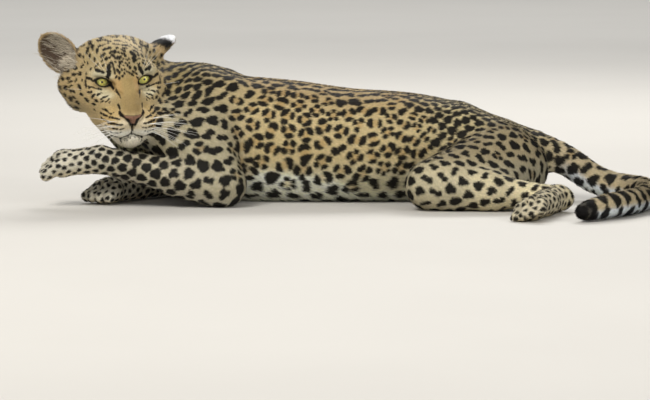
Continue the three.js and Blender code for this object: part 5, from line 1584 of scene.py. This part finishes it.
# ---- Whiskers ------------------------------------------------------------------
def tube(points, ra, rb, sides=5):
    """A tapering tube through points, closed at both ends."""
    P = np.array(points, float)
    way = np.gradient(P, axis=0)
    way /= np.linalg.norm(way, axis=1)[:, None]
    n = len(P)
    pts, faces = [], []
    for i in range(n):
        side = np.cross(way[i], [0.1, 0.2, 1.0])
        side /= np.linalg.norm(side)
        over = np.cross(side, way[i])
        rad = ra + (rb - ra) * (i / (n - 1)) ** 1.3
        for j in range(sides):
            t = 2 * math.pi * j / sides
            pts.append(P[i] + (side * math.cos(t) + over * math.sin(t)) * rad)
    for i in range(n - 1):
        for j in range(sides):
            a, b = i * sides + j, i * sides + (j + 1) % sides
            faces += [(a, b, b + sides), (a, b + sides, a + sides)]
    pts += [P[0], P[-1]]
    for j in range(sides):
        faces += [(len(pts) - 2, (j + 1) % sides, j), (len(pts) - 1, (n - 1) * sides + j, (n - 1) * sides + (j + 1) % sides)]
    return np.array(pts), np.array(faces)


def whiskers():
    r = np.random.default_rng(9)
    every, faces, done = [], [], 0
    def hair_(l, u, way, length, thick, droop):
        nonlocal done
        f = face_depth(l, u)
        start = np.array(inHead(l, f - 2, u))
        way = np.array(way, float) @ np.stack([L_, F_, U_])
        way /= np.linalg.norm(way)
        t = np.linspace(0, 1, 10)
        path = start + way * (length * t)[:, None] + np.array([0, 0, -1.0]) * (droop * t**2)[:, None] + F_ * (-0.16 * length * t**2)[:, None]
        pts, tri = tube(path, thick, thick * 0.28)
        every.append(pts)
        faces.append(tri + done)
        done += len(pts)
    for s in (-1, 1):
        for row, (u, l0, l1, k) in enumerate(((-62, 24, 40, 3), (-71, 20, 42, 5), (-78, 20, 42, 5), (-84, 22, 38, 3))):
            for j in range(k):
                l = l0 + (l1 - l0) * (j + 0.5) / k + r.uniform(-1.2, 1.2)
                length = r.uniform(62, 96) * (0.8 if row in (0, 3) else 1.0)
                hair_(s * l, u + r.uniform(-1, 1), (s * (1.0 + 0.1 * r.normal()), 0.18 + 0.22 * (1 - j / k) + 0.08 * r.normal(), 0.22 - 0.17 * row + 0.1 * r.normal()), length, 0.36, r.uniform(6, 22))
        for j in range(3):
            hair_(s * (32 + 5 * j), 20 + 2 * j, (s * (0.35 + 0.3 * j), 0.35, 1.0), r.uniform(34, 50), 0.27, -2)
        hair_(s * 76, -14, (s * 1.0, 0.0, 0.2), 34, 0.25, 4)
    o = mesh_object("whiskers", np.concatenate(every), np.concatenate(faces), np.tile(tone(238, 236, 228), (done, 1)))
    m, nt, bsdf = material("whiskers", 0.38)
    colour = node(nt, "VertexColor", layer_name="Coat")
    shade, _ = speckled(nt, colour.outputs["Color"], 300, 0.9, 1.05)
    nt.links.new(shade, bsdf.inputs["Base Color"])
    o.data.materials.append(m)
    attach(o, "root")


whiskers()


# ---- Skin -------------------------------------------------------------------
ALL_FLESH = [n for n in NAMES]
skin = mesh_object("skin", SKIN, QUADS, SKIN_COLOUR, SKIN_GLOSS)
skin.data.materials.append(coat_material("skin", True))
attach(skin, "root")
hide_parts(*ALL_FLESH)


# ---- Floor, lights and camera -----------------------------------------------
def stage():
    n = 96
    path = [(-40.0, 0.0), (16.0, 0.0)]
    path += [(16.0 + 4.0 * math.sin(t), 4.0 - 4.0 * math.cos(t)) for t in np.linspace(0, math.pi / 2, 24)[1:]] + [(20.0, 16.0)]
    pts, faces = [], []
    for y, z in path:
        pts += [(-40000.0, y * 1000, z * 1000), (40000.0, y * 1000, z * 1000)]
    for i in range(len(path) - 1):
        faces.append((2 * i, 2 * i + 1, 2 * i + 3, 2 * i + 2))
    floor = mesh_object("floor", np.array(pts), np.array(faces), smooth_faces=True)
    m, nt, bsdf = material("floor", 0.75)
    place = node(nt, "TexCoord")
    noise = node(nt, "TexNoise", Scale=1.7, Detail=5.0)
    nt.links.new(place.outputs["Object"], noise.inputs["Vector"])
    ramp = node(nt, "ValToRGB")
    ramp.color_ramp.elements[0].color = (*tone(193, 190, 184), 1)
    ramp.color_ramp.elements[1].color = (*tone(200, 197, 191), 1)
    nt.links.new(noise.outputs["Fac"], ramp.inputs["Fac"])
    nt.links.new(ramp.outputs["Color"], bsdf.inputs["Base Color"])
    floor.data.materials.append(m)


def light(name, at, aim, size, power, colour=(1, 1, 1)):
    data = bpy.data.lights.new(name, "AREA")
    data.shape, data.size, data.size_y = "RECTANGLE", size[0], size[1]
    data.energy, data.color = power, colour
    o = bpy.data.objects.new(name, data)
    bpy.context.scene.collection.objects.link(o)
    way = np.array(aim, float) - np.array(at, float)
    o.location = at
    o.rotation_euler = mathutils.Vector(way).to_track_quat("-Z", "Y").to_euler()
    return o


stage()
light("key", (-1.7, -2.2, 2.9), (-0.05, 0, 0.1), (1.8, 1.8), 108, (1.0, 0.97, 0.92))
light("fill", (2.6, -2.6, 1.6), (0.1, 0, 0.1), (2.2, 1.6), 52, (1.0, 0.99, 0.97))
light("rim", (0.6, 2.4, 2.4), (0, 0, 0.15), (2.4, 1.0), 60, (1.0, 0.98, 0.95))
light("backdrop", (0.0, 6.0, 5.0), (0, 6.5, 0.0), (8.0, 5.0), 270, (0.98, 0.99, 1.0))
world = bpy.data.worlds.new("studio")
world.use_nodes = True
world.node_tree.nodes["Background"].inputs["Color"].default_value = (0.93, 0.93, 0.93, 1)
world.node_tree.nodes["Background"].inputs["Strength"].default_value = 0.42
bpy.context.scene.world = world
bpy.context.scene.view_settings.view_transform = "Standard"

camera = bpy.data.objects.new("camera", bpy.data.cameras.new("camera"))
bpy.context.scene.collection.objects.link(camera)
bpy.context.scene.camera = camera
rise = 6 * DEG
target = np.array([-0.047, 0.0, -0.002])
camera.location = target + 7.0 * np.array([0, -math.cos(rise), math.sin(rise)])
camera.rotation_euler = (math.pi / 2 - rise, 0, 0)
camera.data.sensor_width, camera.data.sensor_fit = 36, "HORIZONTAL"
camera.data.lens = 3710 * 36 / 650
camera.data.clip_start, camera.data.clip_end = 0.1, 80
